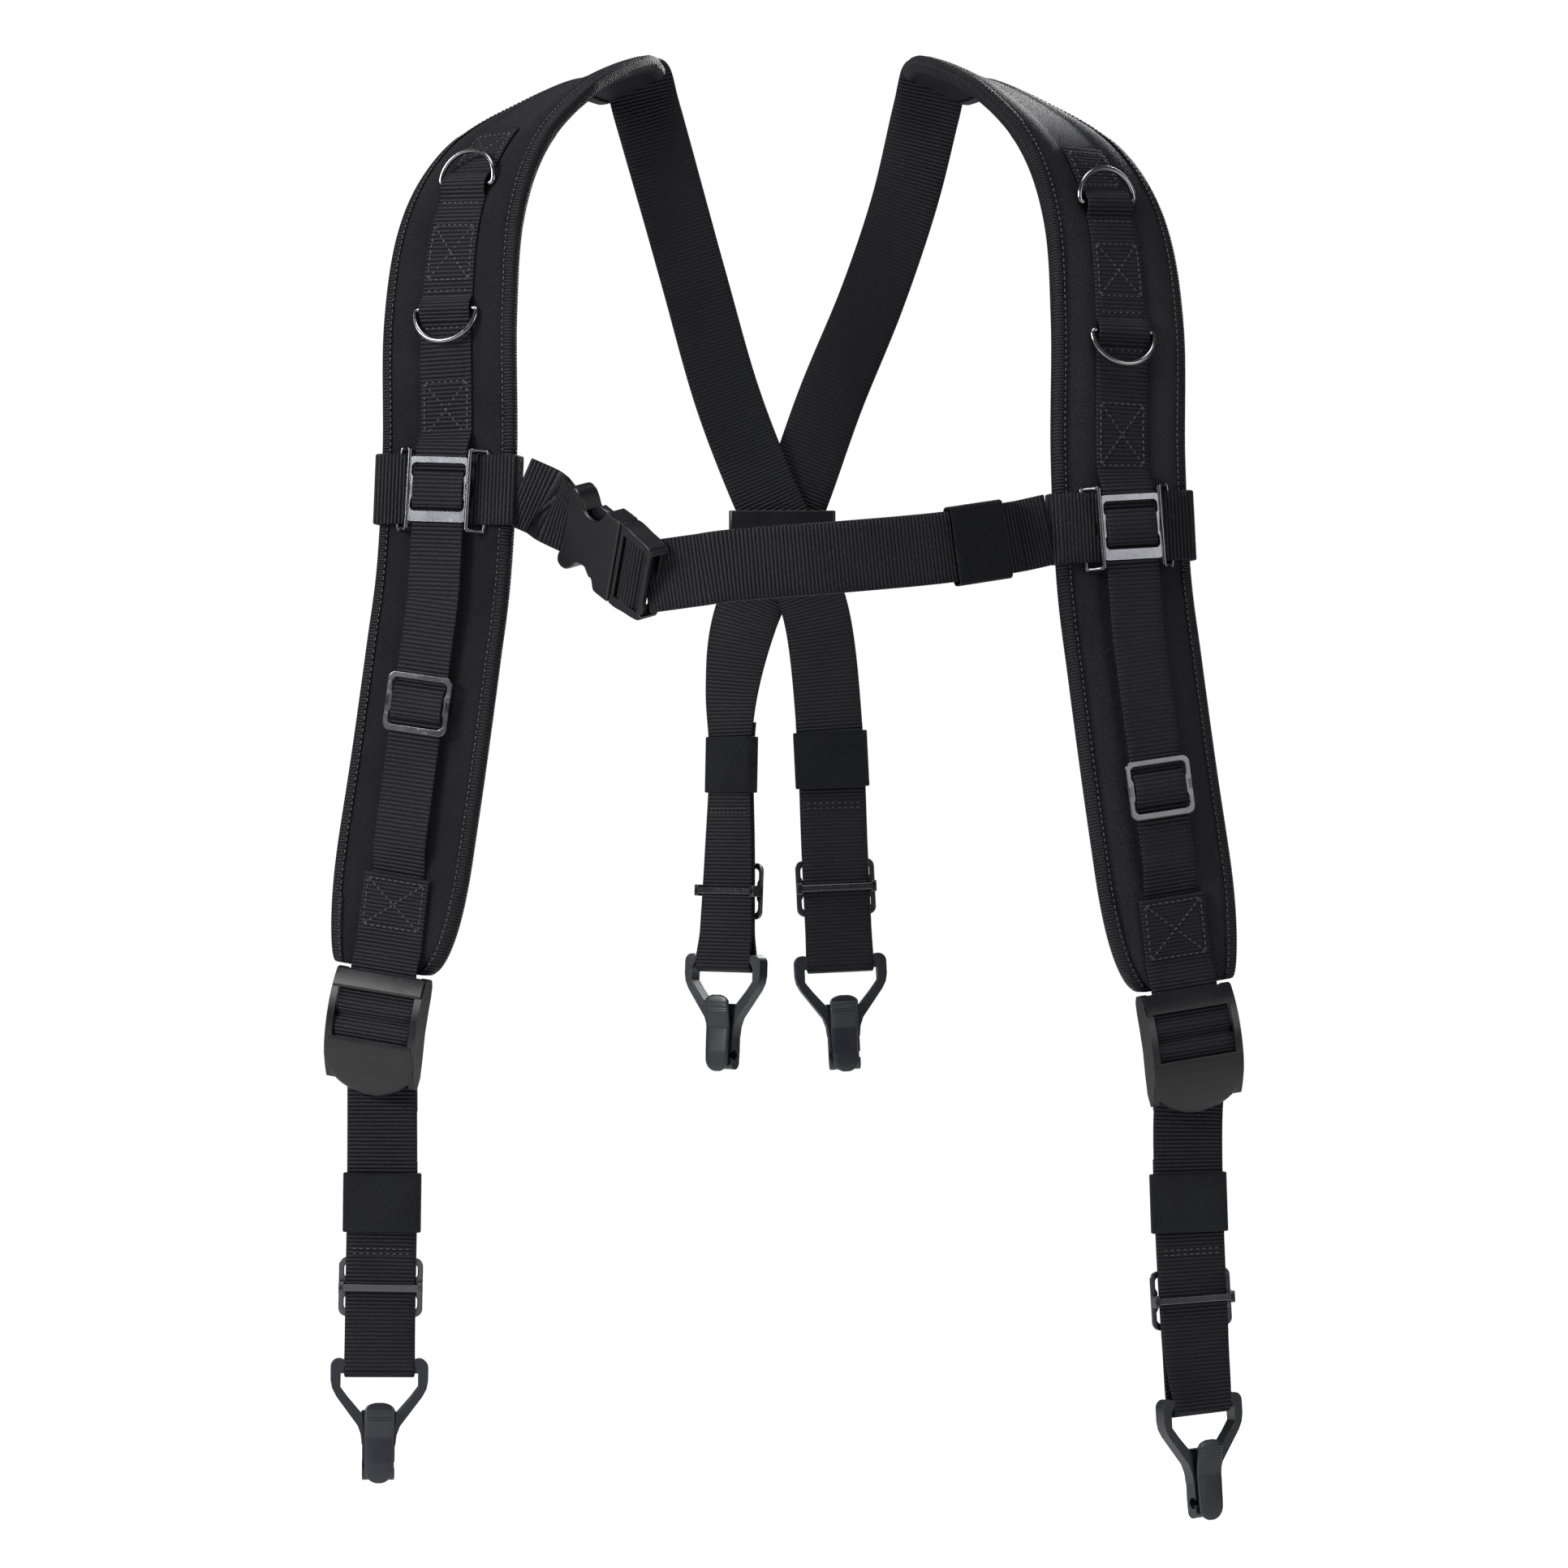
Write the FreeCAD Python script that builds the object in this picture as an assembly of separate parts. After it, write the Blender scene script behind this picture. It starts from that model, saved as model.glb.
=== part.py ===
import FreeCAD, Part
import math
import os

from FreeCAD import Vector

# Padded shoulder harness that carries a tool belt: two curved pads, webbing that crosses at the back,
# a chest strap with a side-release buckle, and four snap hooks. Millimetres. X runs to the viewer's right,
# Y away from the viewer, Z up. The origin lies midway between the two saddles that rest on the shoulders.

# ---- driving dimensions ------------------------------------------------------------------------------
WEB = 38.0               # width of the main webbing
WEB_THICK = 1.8
PAD_WEB = 30.0           # width of the attachment webbing on each pad
PAD_WEB_THICK = 1.4
FOAM = 5.8               # thickness of the foam core
COVER = 1.2              # thickness of the face fabric and of the lining
BINDING = 0.9            # thickness of the tape that wraps the pad's edge
BINDING_REACH = 7.0      # how far the tape reaches in over the pad
GAP = 0.3                # clearance between layers that slide on each other
SEWN = 0.1               # space between layers that are sewn together
LAYERS = 0.3             # space between the two layers of a doubled strap
STRAP_PLAY = 1.1         # room for a bent strap in the slides and keepers of the lower straps
RING_WIRE = 1.5          # radius of the wire of a D-ring
RING_BOW = PAD_WEB / 2 + 3.0    # radius of the bow of a D-ring
TUNNEL_HALF = 7.0        # half the length of webbing that is raised over a ring's bar
BAR = 1.5                # thickness of a bar in the metal slides
FRAME_BAR = 3.4          # width of a bar in the metal slides
SLIDE_HEIGHT = 32.0      # height of a metal slide along the web
CHEST_SLIDE_HEIGHT = 35.0
KEEPER_HEIGHT = 32.0     # length of an elastic keeper along the web
KEEPER_THICK = 1.3
HOOK_WIDTH = WEB + 14.5  # over the two ears that hold the web bar
HOOK_LENGTH = 60.0       # from the web bar to the tip
HOOK_BAR_R = 2.4
HOOK_BODY_DEPTH = 8.0
HOOK_PIN_Z = -38.0
HOOK_SLOT_Y = 1.6        # back of the slot that the lever works in
EYE_R = 3.0              # eye that a belt's ring goes into
EYE_Y = -1.4
EYE_Z = 8.6 - HOOK_LENGTH
HOOK_WALL = 2.7          # each side of the lever
HOOK_THROAT = -26.0      # where the arms meet
LEVER_HALF = 5.5
SHANK_HALF = LEVER_HALF + GAP + HOOK_WALL
PIN_R = 1.6
PIN_PLAY = 0.05
LOCK_WIDTH = WEB + 14.0  # ladder-lock over its side walls
LOCK_LENGTH = 62.0
LOCK_DEPTH = 17.0
LOCK_WALL = 4.0
LOCK_BAR_R = 2.3
LOCK_DROP = 7.0          # from the pad's lower end to the ladder-lock's top bar
LOCK_WEB_BAR = (4.0, 19.0)    # second bar, forward of the top bar and below it
BUCKLE_WIDTH = WEB + 11.0
BUCKLE_THICK = 13.0
SHELL_LENGTH = 44.0      # female half of the chest buckle
PRONG_TIP = 24.5 - SHELL_LENGTH    # where the prongs end inside it
CROSSING_HALF = WEB / 2 + 9.0      # inside of the loop round the crossed webs
SHELL_WALL = 2.0
MALE_LENGTH = 27.0       # what shows of the male half
KNUCKLE = (2.5, 15.5)    # where a prong turns, along the strap and up from its middle
KNUCKLE_R = 2.0
PRONG_DEPTH = 4.4
CHEST_SLIDE_Z = {"left": -242.0, "right": -262.0}
PAD_SLIDE_Z = {"left": -357.0, "right": -402.0}
ANCHOR_TOP_Z = {"left": -449.0, "right": -460.0}
RING_Z = {"left": (-78.0, -145.0), "right": (-88.0, -157.0)}
PAD_STRETCH = {"left": 1.0, "right": 1.018}
FRONT_START = 0.35       # where the front strap's own route takes over from the ladder-lock's bar

SIDES = {"left": -1, "right": 1}
FACE = FOAM / 2 + SEWN + COVER               # pad's face above its middle surface
EDGE_FACE = FACE + SEWN + BINDING            # outside of the binding
SEWN_WEB = FACE + SEWN + PAD_WEB_THICK / 2   # middle of the webbing where it is sewn down
UNDER_BAR = FACE + GAP + BAR / 2             # the chest slide's side bars, between pad and band
BAND = EDGE_FACE + 2 * GAP + WEB_THICK / 2 + 0.4    # middle of the chest band in front of the pad
BAND_HALF = 38.0 + SEWN + BINDING + 3 * GAP         # inside of the band, past the pad's bound edge
BACK_BAR = BAND + WEB_THICK / 2 + GAP + BAR / 2
FREE_WEB = BACK_BAR + BAR / 2 + GAP + PAD_WEB_THICK / 2     # middle of the free pad webbing

# ---- routes: x, y, z, then the direction that the outer face looks in ----------------------------------
# The right shoulder's pad, from its rear end over the saddle and down the chest. The left one mirrors it.
PAD_ROUTE = [
    (86, 30, -8, 0.20, 0.35, 0.90),
    (99, 4, -7, 0.36, -0.12, 0.93),
    (128, -36, -25, 0.54, -0.40, 0.74),
    (157, -70, -54, 0.55, -0.60, 0.58),
    (174, -91, -95, 0.46, -0.78, 0.42),
    (180, -102, -150, 0.36, -0.91, 0.18),
    (180, -108, -220, 0.34, -0.94, 0.04),
    (183, -110, -284, 0.34, -0.94, 0.0),
    (189, -110, -332, 0.33, -0.94, 0.0),
    (197, -109, -390, 0.32, -0.94, 0.0),
    (206, -106, -450, 0.31, -0.95, -0.05),
    (212, -101, -500, 0.31, -0.95, -0.06),
]
PAD_HALF_OUTER = (22, 28, 35, 38, 38, 38, 38, 38, 38, 38, 37, 30)
PAD_HALF_INNER = (22, 28, 35, 38, 38, 38, 38, 38, 38, 38, 37, 20)
# Rear webbing, from where it is sewn on top of the pad's rear end, over the saddle and down the back. It
# crosses to the other side, and its face towards the wearer's back is the one named here.
REAR_ROUTE = {
    "left": [
        (-98, 5, 3.5, 0.30, 0.0, -1.0),
        (-84, 32, 0.5, 0.15, -0.45, -0.85),
        (-77, 45, -22, 0.10, -0.98, -0.30),
        (-63, 57, -72, 0.20, -0.97, -0.12),
        (-51, 67, -115, 0.22, -0.97, -0.10),
        (-33, 84, -178, 0.15, -0.98, -0.12),
        (-13, 96, -230, 0.06, -1.0, -0.06),
        (4, 98, -266, 0.02, -1.0, 0.0),
        (19, 99, -306, 0.04, -1.0, 0.0),
        (26, 98, -370, 0.06, -1.0, 0.0),
        (29, 96, -440, 0.10, -1.0, 0.0),
        (32, 94, -503, 0.14, -1.0, 0.0),
    ],
    "right": [
        (98, 5, 3.5, -0.30, 0.0, -1.0),
        (86, 34, 0.5, -0.15, -0.45, -0.85),
        (80, 46, -22, -0.10, -0.98, -0.30),
        (68, 58, -72, -0.25, -0.96, -0.12),
        (50, 72, -125, -0.25, -0.96, -0.10),
        (27, 89, -180, -0.15, -0.98, -0.12),
        (9, 101, -230, -0.06, -1.0, -0.06),
        (-5, 103, -266, -0.05, -1.0, 0.0),
        (-22, 103, -306, -0.22, -0.97, 0.0),
        (-29, 102, -345, -0.60, -0.80, 0.0),
        (-30, 101, -385, -0.78, -0.62, 0.0),
        (-31, 100, -440, -0.70, -0.71, 0.0),
        (-33, 98, -503, -0.57, -0.82, 0.0),
    ],
}
# Front strap, from the ladder-lock down to the bar of the snap hook.
FRONT_ROUTE = {
    "left": [
        (-218, -96, -520, -0.20, -0.98, 0.0),
        (-217, -97, -560, -0.10, -0.99, 0.0),
        (-217, -98, -620, 0.0, -1.0, 0.0),
        (-218, -98, -680, 0.06, -1.0, 0.0),
        (-218.5, -98, -716, 0.12, -1.0, 0.0),
    ],
    "right": [
        (222, -96, -538, 0.22, -0.98, 0.0),
        (218, -98, -580, 0.12, -0.99, 0.0),
        (219, -99, -640, 0.20, -0.98, 0.0),
        (222, -99, -700, 0.30, -0.95, 0.0),
        (224, -99, -736, 0.54, -0.84, 0.0),
    ],
}
# Chest strap, from the left pad's slide to the right pad's. Its outer face looks at the viewer.
CHEST_ROUTE = [
    (-134, -128, -244, 0.10, -0.99, 0.0),
    (-128, -128, -250, -0.20, -0.97, -0.05),
    (-120, -131, -257, -0.62, -0.76, -0.18),
    (-98, -150, -272, -0.74, -0.62, -0.22),
    (-73, -172, -289, -0.74, -0.62, -0.22),
    (-50, -182, -288, -0.20, -0.97, -0.05),
    (-28, -184, -285, 0.0, -1.0, 0.0),
    (20, -176, -281, 0.12, -0.99, 0.0),
    (80, -156, -275, 0.22, -0.97, 0.0),
    (118, -138, -269, 0.22, -0.97, 0.0),
    (137, -128, -265, 0.05, -1.0, 0.0),
]


def spline(route, t):
    """Smooth curve through the route's rows: a cubic between neighbours, with half their span as its slope."""
    i = min(max(int(math.floor(t)), 0), len(route) - 2)
    f = t - i
    a, b = route[i], route[i + 1]
    before = route[i - 1] if i > 0 else [2 * p - q for p, q in zip(a, b)]
    after = route[i + 2] if i < len(route) - 2 else [2 * q - p for p, q in zip(a, b)]
    row = []
    for p0, p1, p2, p3 in zip(before, a, b, after):
        start, end = (p2 - p0) / 2, (p3 - p1) / 2
        row.append((2 * f**3 - 3 * f**2 + 1) * p1 + (f**3 - 2 * f**2 + f) * start
                   + (3 * f**2 - 2 * f**3) * p2 + (f**3 - f**2) * end)
    return row


def spot(route, t, lift=0.0):
    """Where the route is at t: centre, direction across it, outward direction and direction along it."""
    row = spline(route, t)
    ahead = spline(route, min(t + 0.01, len(route) - 1))
    behind = spline(route, max(t - 0.01, 0))
    along = Vector(*ahead[:3]).sub(Vector(*behind[:3])).normalize()
    outward = Vector(*row[3:6])
    outward = outward.sub(along * outward.dot(along)).normalize()
    across = outward.cross(along)
    return Vector(*row[:3]) + outward * lift, across, outward, along


def t_at(route, value, axis=2):
    """The last place on the route where one coordinate has this value."""
    found, steps = 0.0, 60 * (len(route) - 1)
    for i in range(steps):
        t0, t1 = i / 60, (i + 1) / 60
        a, b = spline(route, t0)[axis] - value, spline(route, t1)[axis] - value
        if a == 0 or a * b < 0:
            found = t0 + (t1 - t0) * a / (a - b)
    return found


def straight(start, end):
    """A route of two rows between two spots, for a stretch that is pulled tight."""
    return [tuple(s[0]) + tuple(s[2]) for s in (start, end)]


def loft(sections):
    """Closed solid through polygons with the same number of corners."""
    wires = [Part.makePolygon(corners + corners[:1]) for corners in sections]
    solid = Part.makeLoft(wires, True, True)
    if solid.Volume < 0:
        solid.reverse()
    return solid


def ribbon(route, t0, t1, section, steps):
    """A section, given as (across, outward) corners or as a function of t, carried along the route."""
    sections = []
    for i in range(steps + 1):
        t = t0 + (t1 - t0) * i / steps
        centre, across, outward, _ = spot(route, t)
        corners = section(t) if callable(section) else section
        sections.append([centre + across * u + outward * n for u, n in corners])
    return loft(sections)


def strip(width, low, high, shift=0.0):
    """Rectangle of webbing: its width across the route, and its two faces' heights above it."""
    return [(shift - width / 2, low), (shift + width / 2, low), (shift + width / 2, high), (shift - width / 2, high)]


def web_strip(width, thick, lift=0.0, shift=0.0):
    """Section of webbing whose middle lies at a height above the route."""
    return strip(width, lift - thick / 2, lift + thick / 2, shift)


def placed(shape, place):
    """A shape moved from its own axes, x across the web, y away from the viewer and z up it, to a spot."""
    centre, across, outward, along = place
    matrix = FreeCAD.Matrix(
        across.x, -outward.x, -along.x, centre.x,
        across.y, -outward.y, -along.y, centre.y,
        across.z, -outward.z, -along.z, centre.z,
        0, 0, 0, 1,
    )
    moved = shape.copy()
    moved.Placement = FreeCAD.Placement(matrix).multiply(shape.Placement)
    return moved


def box(x0, x1, y0, y1, z0, z1):
    """Block between two corners."""
    return Part.makeBox(x1 - x0, y1 - y0, z1 - z0, Vector(x0, y0, z0))


def rod(radius, x0, x1, y=0.0, z=0.0):
    """Round bar across the web."""
    return Part.makeCylinder(radius, x1 - x0, Vector(x0, y, z), Vector(1, 0, 0))


def joined(shapes):
    """One solid from several that overlap."""
    return shapes[0].multiFuse(shapes[1:]).removeSplitter()


def rounded(solid, radius, direction):
    """The solid with its edges along a direction rounded."""
    edges = [e for e in solid.Edges if len(e.Vertexes) == 2
             and e.tangentAt(e.FirstParameter).cross(direction).Length < 1e-6]
    return solid.makeFillet(radius, edges)


def window_frame(width, height, bar, y0, y1):
    """Flat metal frame with rounded corners and one window."""
    plate = rounded(box(-width / 2, width / 2, y0, y1, -height / 2, height / 2), bar * 1.3, Vector(0, 1, 0))
    window = box(bar - width / 2, width / 2 - bar, y0 - 1, y1 + 1, bar - height / 2, height / 2 - bar)
    return plate.cut(rounded(window, bar * 0.6, Vector(0, 1, 0)))


def web_slide(web, thick, height, in_front, play=GAP):
    """Three-bar slide. Its outer frame lies on one side of the web and its middle bar on the other.

    in_front is 1 where the frame is on the viewer's side, and -1 where the middle bar is.
    """
    width = web + 2 * (FRAME_BAR + GAP)
    near = thick / 2 + play
    frame = window_frame(width, height, FRAME_BAR, near, near + BAR)
    middle = box(-width / 2, width / 2, -near - BAR, -near, -FRAME_BAR / 2, FRAME_BAR / 2)
    ties = [box(x, x + FRAME_BAR - GAP, -near - BAR, near + BAR, -FRAME_BAR, FRAME_BAR)
            for x in (-width / 2, width / 2 - FRAME_BAR + GAP)]
    slide = joined([frame, middle] + ties)
    return slide if in_front < 0 else slide.mirror(Vector(), Vector(0, 1, 0))


def d_ring():
    """Bent wire ring. Its straight bar lies on the origin and its bow hangs down."""
    wire = Part.Wire(Part.makeCircle(RING_WIRE, Vector(RING_BOW, 0, 0), Vector(0, 0, 1)))
    bow = Part.Face(wire).revolve(Vector(), Vector(0, 1, 0), 180)
    bar = rod(RING_WIRE, -RING_BOW, RING_BOW)
    corners = [Part.makeSphere(RING_WIRE + 0.1, Vector(x, 0, 0)) for x in (-RING_BOW, RING_BOW)]
    return joined([bow, bar] + corners)


def web_loop(width, bar_radius, thick):
    """Turn of webbing round a bar on the origin."""
    inner = bar_radius + GAP
    return rod(inner + thick, -width / 2, width / 2).cut(rod(inner, -width / 2 - 1, width / 2 + 1))


def keeper(web, low, high):
    """Closed elastic band round the layers of a strap, from one height to another above its middle."""
    half = web / 2 + STRAP_PLAY / 2
    near, far = -high - STRAP_PLAY, -low + STRAP_PLAY
    outer = box(-half - KEEPER_THICK, half + KEEPER_THICK, near - KEEPER_THICK, far + KEEPER_THICK,
                -KEEPER_HEIGHT / 2, KEEPER_HEIGHT / 2)
    inner = box(-half, half, near, far, -KEEPER_HEIGHT, KEEPER_HEIGHT)
    return outer.cut(inner)


# ---- pads ---------------------------------------------------------------------------------------------
def pad_route(side):
    """Route of one pad's middle surface."""
    sign = SIDES[side]
    return [(sign * x, y, z * PAD_STRETCH[side], sign * nx, ny, nz) for x, y, z, nx, ny, nz in PAD_ROUTE]


def pad_halves(side, t):
    """How far the pad reaches across its route, to -u and to +u."""
    i = min(int(t), len(PAD_ROUTE) - 2)
    outer = PAD_HALF_OUTER[i] + (PAD_HALF_OUTER[i + 1] - PAD_HALF_OUTER[i]) * (t - i)
    inner = PAD_HALF_INNER[i] + (PAD_HALF_INNER[i + 1] - PAD_HALF_INNER[i]) * (t - i)
    return (inner, outer) if side == "right" else (outer, inner)


def pad_layer(side, low, high, inset=0.0):
    """One layer of the pad between two heights, set in from its outline."""
    def section(t):
        left, right = pad_halves(side, t)
        return strip(left + right - 2 * inset, low, high, (right - left) / 2)
    end = len(PAD_ROUTE) - 1
    return ribbon(pad_route(side), 0, end, section, 2 * end)


def binding(side):
    """Tape folded over the pad's two long edges."""
    end = len(PAD_ROUTE) - 1
    inside = FACE + SEWN
    pieces = []
    for sign in (-1, 1):
        def channel(t, sign=sign):
            reach = pad_halves(side, t)[0 if sign < 0 else 1]
            wall, out = reach + SEWN, reach + SEWN + BINDING
            return [(sign * (reach - BINDING_REACH), inside), (sign * wall, inside), (sign * wall, -inside),
                    (sign * (reach - BINDING_REACH), -inside), (sign * (reach - BINDING_REACH), -EDGE_FACE),
                    (sign * out, -EDGE_FACE), (sign * out, EDGE_FACE), (sign * (reach - BINDING_REACH), EDGE_FACE)]
        pieces.append(ribbon(pad_route(side), 0, end, channel, 2 * end))
    return Part.makeCompound(pieces)


def chest_slide_spot(side):
    """Where the chest slide rides on the free webbing."""
    upper, _ = free_web_runs(side)
    return spot(upper, t_at(upper, CHEST_SLIDE_Z[side]))


def free_web_runs(side):
    """The pad webbing's two straight runs: past the chest slide, and on down to the anchor webbing."""
    route = pad_route(side)
    top = spot(route, t_at(route, CHEST_SLIDE_Z[side] + 22), FREE_WEB)
    knee = spot(route, t_at(route, CHEST_SLIDE_Z[side] - 58), FREE_WEB)
    bottom = spot(route, t_at(route, ANCHOR_TOP_Z[side] + 16), FREE_WEB - 1.0)
    return straight(top, knee), straight(knee, bottom)


def pad_web_lift(side, t):
    """Height of the pad webbing above the pad: sewn down, raised over the D-ring bars, and then free."""
    z = spline(pad_route(side), t)[2]
    lift = SEWN_WEB
    for ring_z in RING_Z[side]:
        rise = max(0.0, 1 - ((z - ring_z) / TUNNEL_HALF) ** 2)
        lift = max(lift, SEWN_WEB + (2 * RING_WIRE + 4 * GAP) * rise)
    return lift


def pad_web(side):
    """30 mm webbing sewn down the pad with two D-ring tunnels, then free down to the anchor."""
    route = pad_route(side)
    start = t_at(route, RING_Z[side][0] + 30)
    sewn_end = t_at(route, CHEST_SLIDE_Z[side] + 31)
    landing = t_at(route, ANCHOR_TOP_Z[side] + 3)
    tucked = t_at(route, ANCHOR_TOP_Z[side] - 10)
    upper, lower = free_web_runs(side)

    def corners(place, lift):
        centre, across, outward, _ = place
        return [centre + across * u + outward * n for u, n in web_strip(PAD_WEB, PAD_WEB_THICK, lift)]

    steps = 64
    sections = []
    for i in range(steps + 1):
        t = start + (sewn_end - start) * i / steps
        sections.append(corners(spot(route, t), pad_web_lift(side, t)))
    sections += [corners(spot(upper, t), 0.0) for t in (0.0, 0.5, 0.97)]
    sections += [corners(spot(lower, t), 0.0) for t in (0.02, 0.5, 1.0)]
    sections.append(corners(spot(route, landing), SEWN_WEB))
    sections.append(corners(spot(route, tucked), SEWN_WEB))
    return loft(sections)


def ring_spot(side, number):
    """Bar of a D-ring, in its tunnel under the pad webbing."""
    route = pad_route(side)
    return spot(route, t_at(route, RING_Z[side][number]), FACE + GAP + RING_WIRE + 0.2)


def chest_slide():
    """Chest-strap slide: a frame in front of the pad webbing, a bar behind it, and a side loop each way."""
    slide = web_slide(PAD_WEB, PAD_WEB_THICK, CHEST_SLIDE_HEIGHT, 1)
    half = PAD_WEB / 2 + FRAME_BAR + GAP
    reach = half + 8.0
    depth = FREE_WEB - UNDER_BAR
    tall = WEB / 2 + 4 * GAP
    pieces = [slide]
    for sign in (-1, 1):
        x0, x1 = sorted((sign * reach, sign * (reach - 2.6)))
        pieces.append(box(x0, x1, depth - BAR / 2, depth + BAR / 2, -tall - 2.4, tall + 2.4))
        for z0, z1 in ((tall, tall + 2.4), (-tall - 2.4, -tall)):
            a, b = sorted((sign * reach, sign * (half - 3.0)))
            pieces.append(box(a, b, depth - BAR / 2 - 2.6, depth + BAR / 2, z0, z1))
            a, b = sorted((sign * (half - FRAME_BAR + GAP), sign * half))
            pieces.append(box(a, b, -PAD_WEB_THICK / 2 - GAP - BAR, depth + BAR / 2, z0, z1))
        a, b = sorted((sign * (half - FRAME_BAR + GAP), sign * half))
        pieces.append(box(a, b, -PAD_WEB_THICK / 2 - GAP - BAR, -PAD_WEB_THICK / 2 - GAP, -tall - 2.4, tall + 2.4))
    return joined(pieces)


def chest_band(side):
    """Loop of chest webbing round the pad, under the chest slide."""
    route = pad_route(side)
    centre, across, outward, along = spot(route, t_at(route, CHEST_SLIDE_Z[side]))
    half = BAND_HALF
    front, back = BAND - WEB_THICK / 2, EDGE_FACE + 2 * GAP
    outer = box(-half - WEB_THICK, half + WEB_THICK, -front - WEB_THICK, back + WEB_THICK, -WEB / 2, WEB / 2)
    outer = rounded(outer, WEB_THICK, Vector(0, 0, 1))
    inner = box(-half, half, -front, back, -WEB, WEB)
    return placed(outer.cut(inner), (centre, across, outward, along))


def anchor_web(side):
    """38 mm webbing sewn over the lower end of the pad, with a turn round the ladder-lock's top bar."""
    route = pad_route(side)
    low = FACE + 2 * SEWN + PAD_WEB_THICK
    top, bottom = t_at(route, ANCHOR_TOP_Z[side]), len(PAD_ROUTE) - 1.02
    sections = []
    for i in range(7):
        centre, across, outward, _ = spot(route, top + (bottom - top) * i / 6)
        sections.append([centre + across * u + outward * n for u, n in strip(WEB, low, low + WEB_THICK)])
    centre, across, outward, along = lock_spot(side)
    end = centre - along * (LOCK_BAR_R + 2 * GAP + WEB_THICK)
    sections.append([end + across * u + outward * n for u, n in web_strip(WEB, WEB_THICK)])
    loop = placed(web_loop(WEB, LOCK_BAR_R, WEB_THICK), (centre, across, outward, along))
    return Part.makeCompound([loft(sections), loop])


def lock_spot(side):
    """Top bar of the ladder-lock, just below the pad's lower end."""
    route = pad_route(side)
    centre, across, outward, along = spot(route, len(PAD_ROUTE) - 1, EDGE_FACE + 2.0)
    return centre + along * LOCK_DROP, across, outward, along


def lock_web_bar(side):
    """The ladder-lock's bar that the front strap is laced round."""
    centre, across, outward, along = lock_spot(side)
    return centre + outward * LOCK_WEB_BAR[0] + along * LOCK_WEB_BAR[1], across, outward, along


def ladder_lock():
    """Plastic ladder-lock. Its top bar lies on the origin; two side walls, a web bar and a thumb tab hang from it."""
    half = LOCK_WIDTH / 2
    outline = [(-4.0, 4.5), (6.0, 5.0), (LOCK_DEPTH - 5, -4.0), (LOCK_DEPTH - 5, -LOCK_LENGTH * 0.62),
               (3.0, 6.0 - LOCK_LENGTH), (-1.5, -LOCK_LENGTH * 0.55), (-4.0, -16.0)]
    walls = []
    for x in (-half, half - LOCK_WALL):
        face = Part.Face(Part.makePolygon([Vector(x, -y, z) for y, z in outline + outline[:1]]))
        walls.append(face.extrude(Vector(LOCK_WALL, 0, 0)))
    inner = half - LOCK_WALL / 2
    bars = [rod(LOCK_BAR_R, -inner, inner), rod(LOCK_BAR_R, -inner, inner, -LOCK_WEB_BAR[0], -LOCK_WEB_BAR[1])]
    front = box(-inner, inner, -LOCK_DEPTH + 5, -LOCK_DEPTH + 9, -30.0, -24.0)
    tab_profile = [(LOCK_DEPTH - 5, -LOCK_LENGTH * 0.60), (LOCK_DEPTH - 8, -LOCK_LENGTH * 0.60),
                   (1.0, 5.0 - LOCK_LENGTH), (3.0, -LOCK_LENGTH + 2.0), (6.0, 1.0 - LOCK_LENGTH)]
    tab_face = Part.Face(Part.makePolygon([Vector(-inner, -y, z) for y, z in tab_profile + tab_profile[:1]]))
    tab = tab_face.extrude(Vector(2 * inner, 0, 0))
    round_off = Part.makeCylinder(inner, 60, Vector(0, 30, 14 - LOCK_LENGTH + inner - 14), Vector(0, -1, 0))
    keep = box(-inner, inner, -40, 40, inner - LOCK_LENGTH, 40)
    tab = tab.common(joined([round_off, keep]))
    return joined(walls + bars + [front, tab])


def front_strap(side):
    """Strap from the ladder-lock's web bar down through the slide, with its folded upper end."""
    route = FRONT_ROUTE[side]
    lower = t_at(route, SLIDE_Z[("front", side)] - SLIDE_HEIGHT * 0.8)
    bar = lock_web_bar(side)
    loop = placed(web_loop(WEB, LOCK_BAR_R, WEB_THICK), bar)
    centre, across, outward, along = bar
    flat = web_strip(WEB, WEB_THICK)
    end = centre + along * (LOCK_BAR_R + 2 * GAP + WEB_THICK)
    sections = [[end + across * u + outward * n for u, n in flat]]
    for i in range(13):
        centre, across, outward, _ = spot(route, FRONT_START + (lower - FRONT_START) * i / 12)
        lift = WEB_THICK / 2 + LAYERS / 2
        sections.append([centre + across * u + outward * (n + lift) for u, n in flat])
    return Part.makeCompound([loop, loft(sections)])


def hook_web(route, top_z):
    """Webbing that turns round the hook's bar and runs back up behind the strap to a folded tip."""
    end = len(route) - 1
    centre, across, outward, along = spot(route, end)
    start = t_at(route, top_z)
    inner_end = t_at(route, spline(route, end)[2] + HOOK_BAR_R + GAP + WEB_THICK * 0.5)
    body = ribbon(route, start, inner_end, web_strip(WEB, WEB_THICK, -WEB_THICK / 2 - LAYERS / 2), 14)
    loop = placed(web_loop(WEB, HOOK_BAR_R, WEB_THICK), (centre, across, outward, along))
    return joined([body, loop])


SLIDE_Z = {("front", "left"): -672.0, ("front", "right"): -678.0, ("rear", "left"): -459.0, ("rear", "right"): -461.0}
KEEPER_Z = {("front", "left"): -626.0, ("front", "right"): -626.0, ("rear", "left"): -386.0, ("rear", "right"): -389.0}


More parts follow.
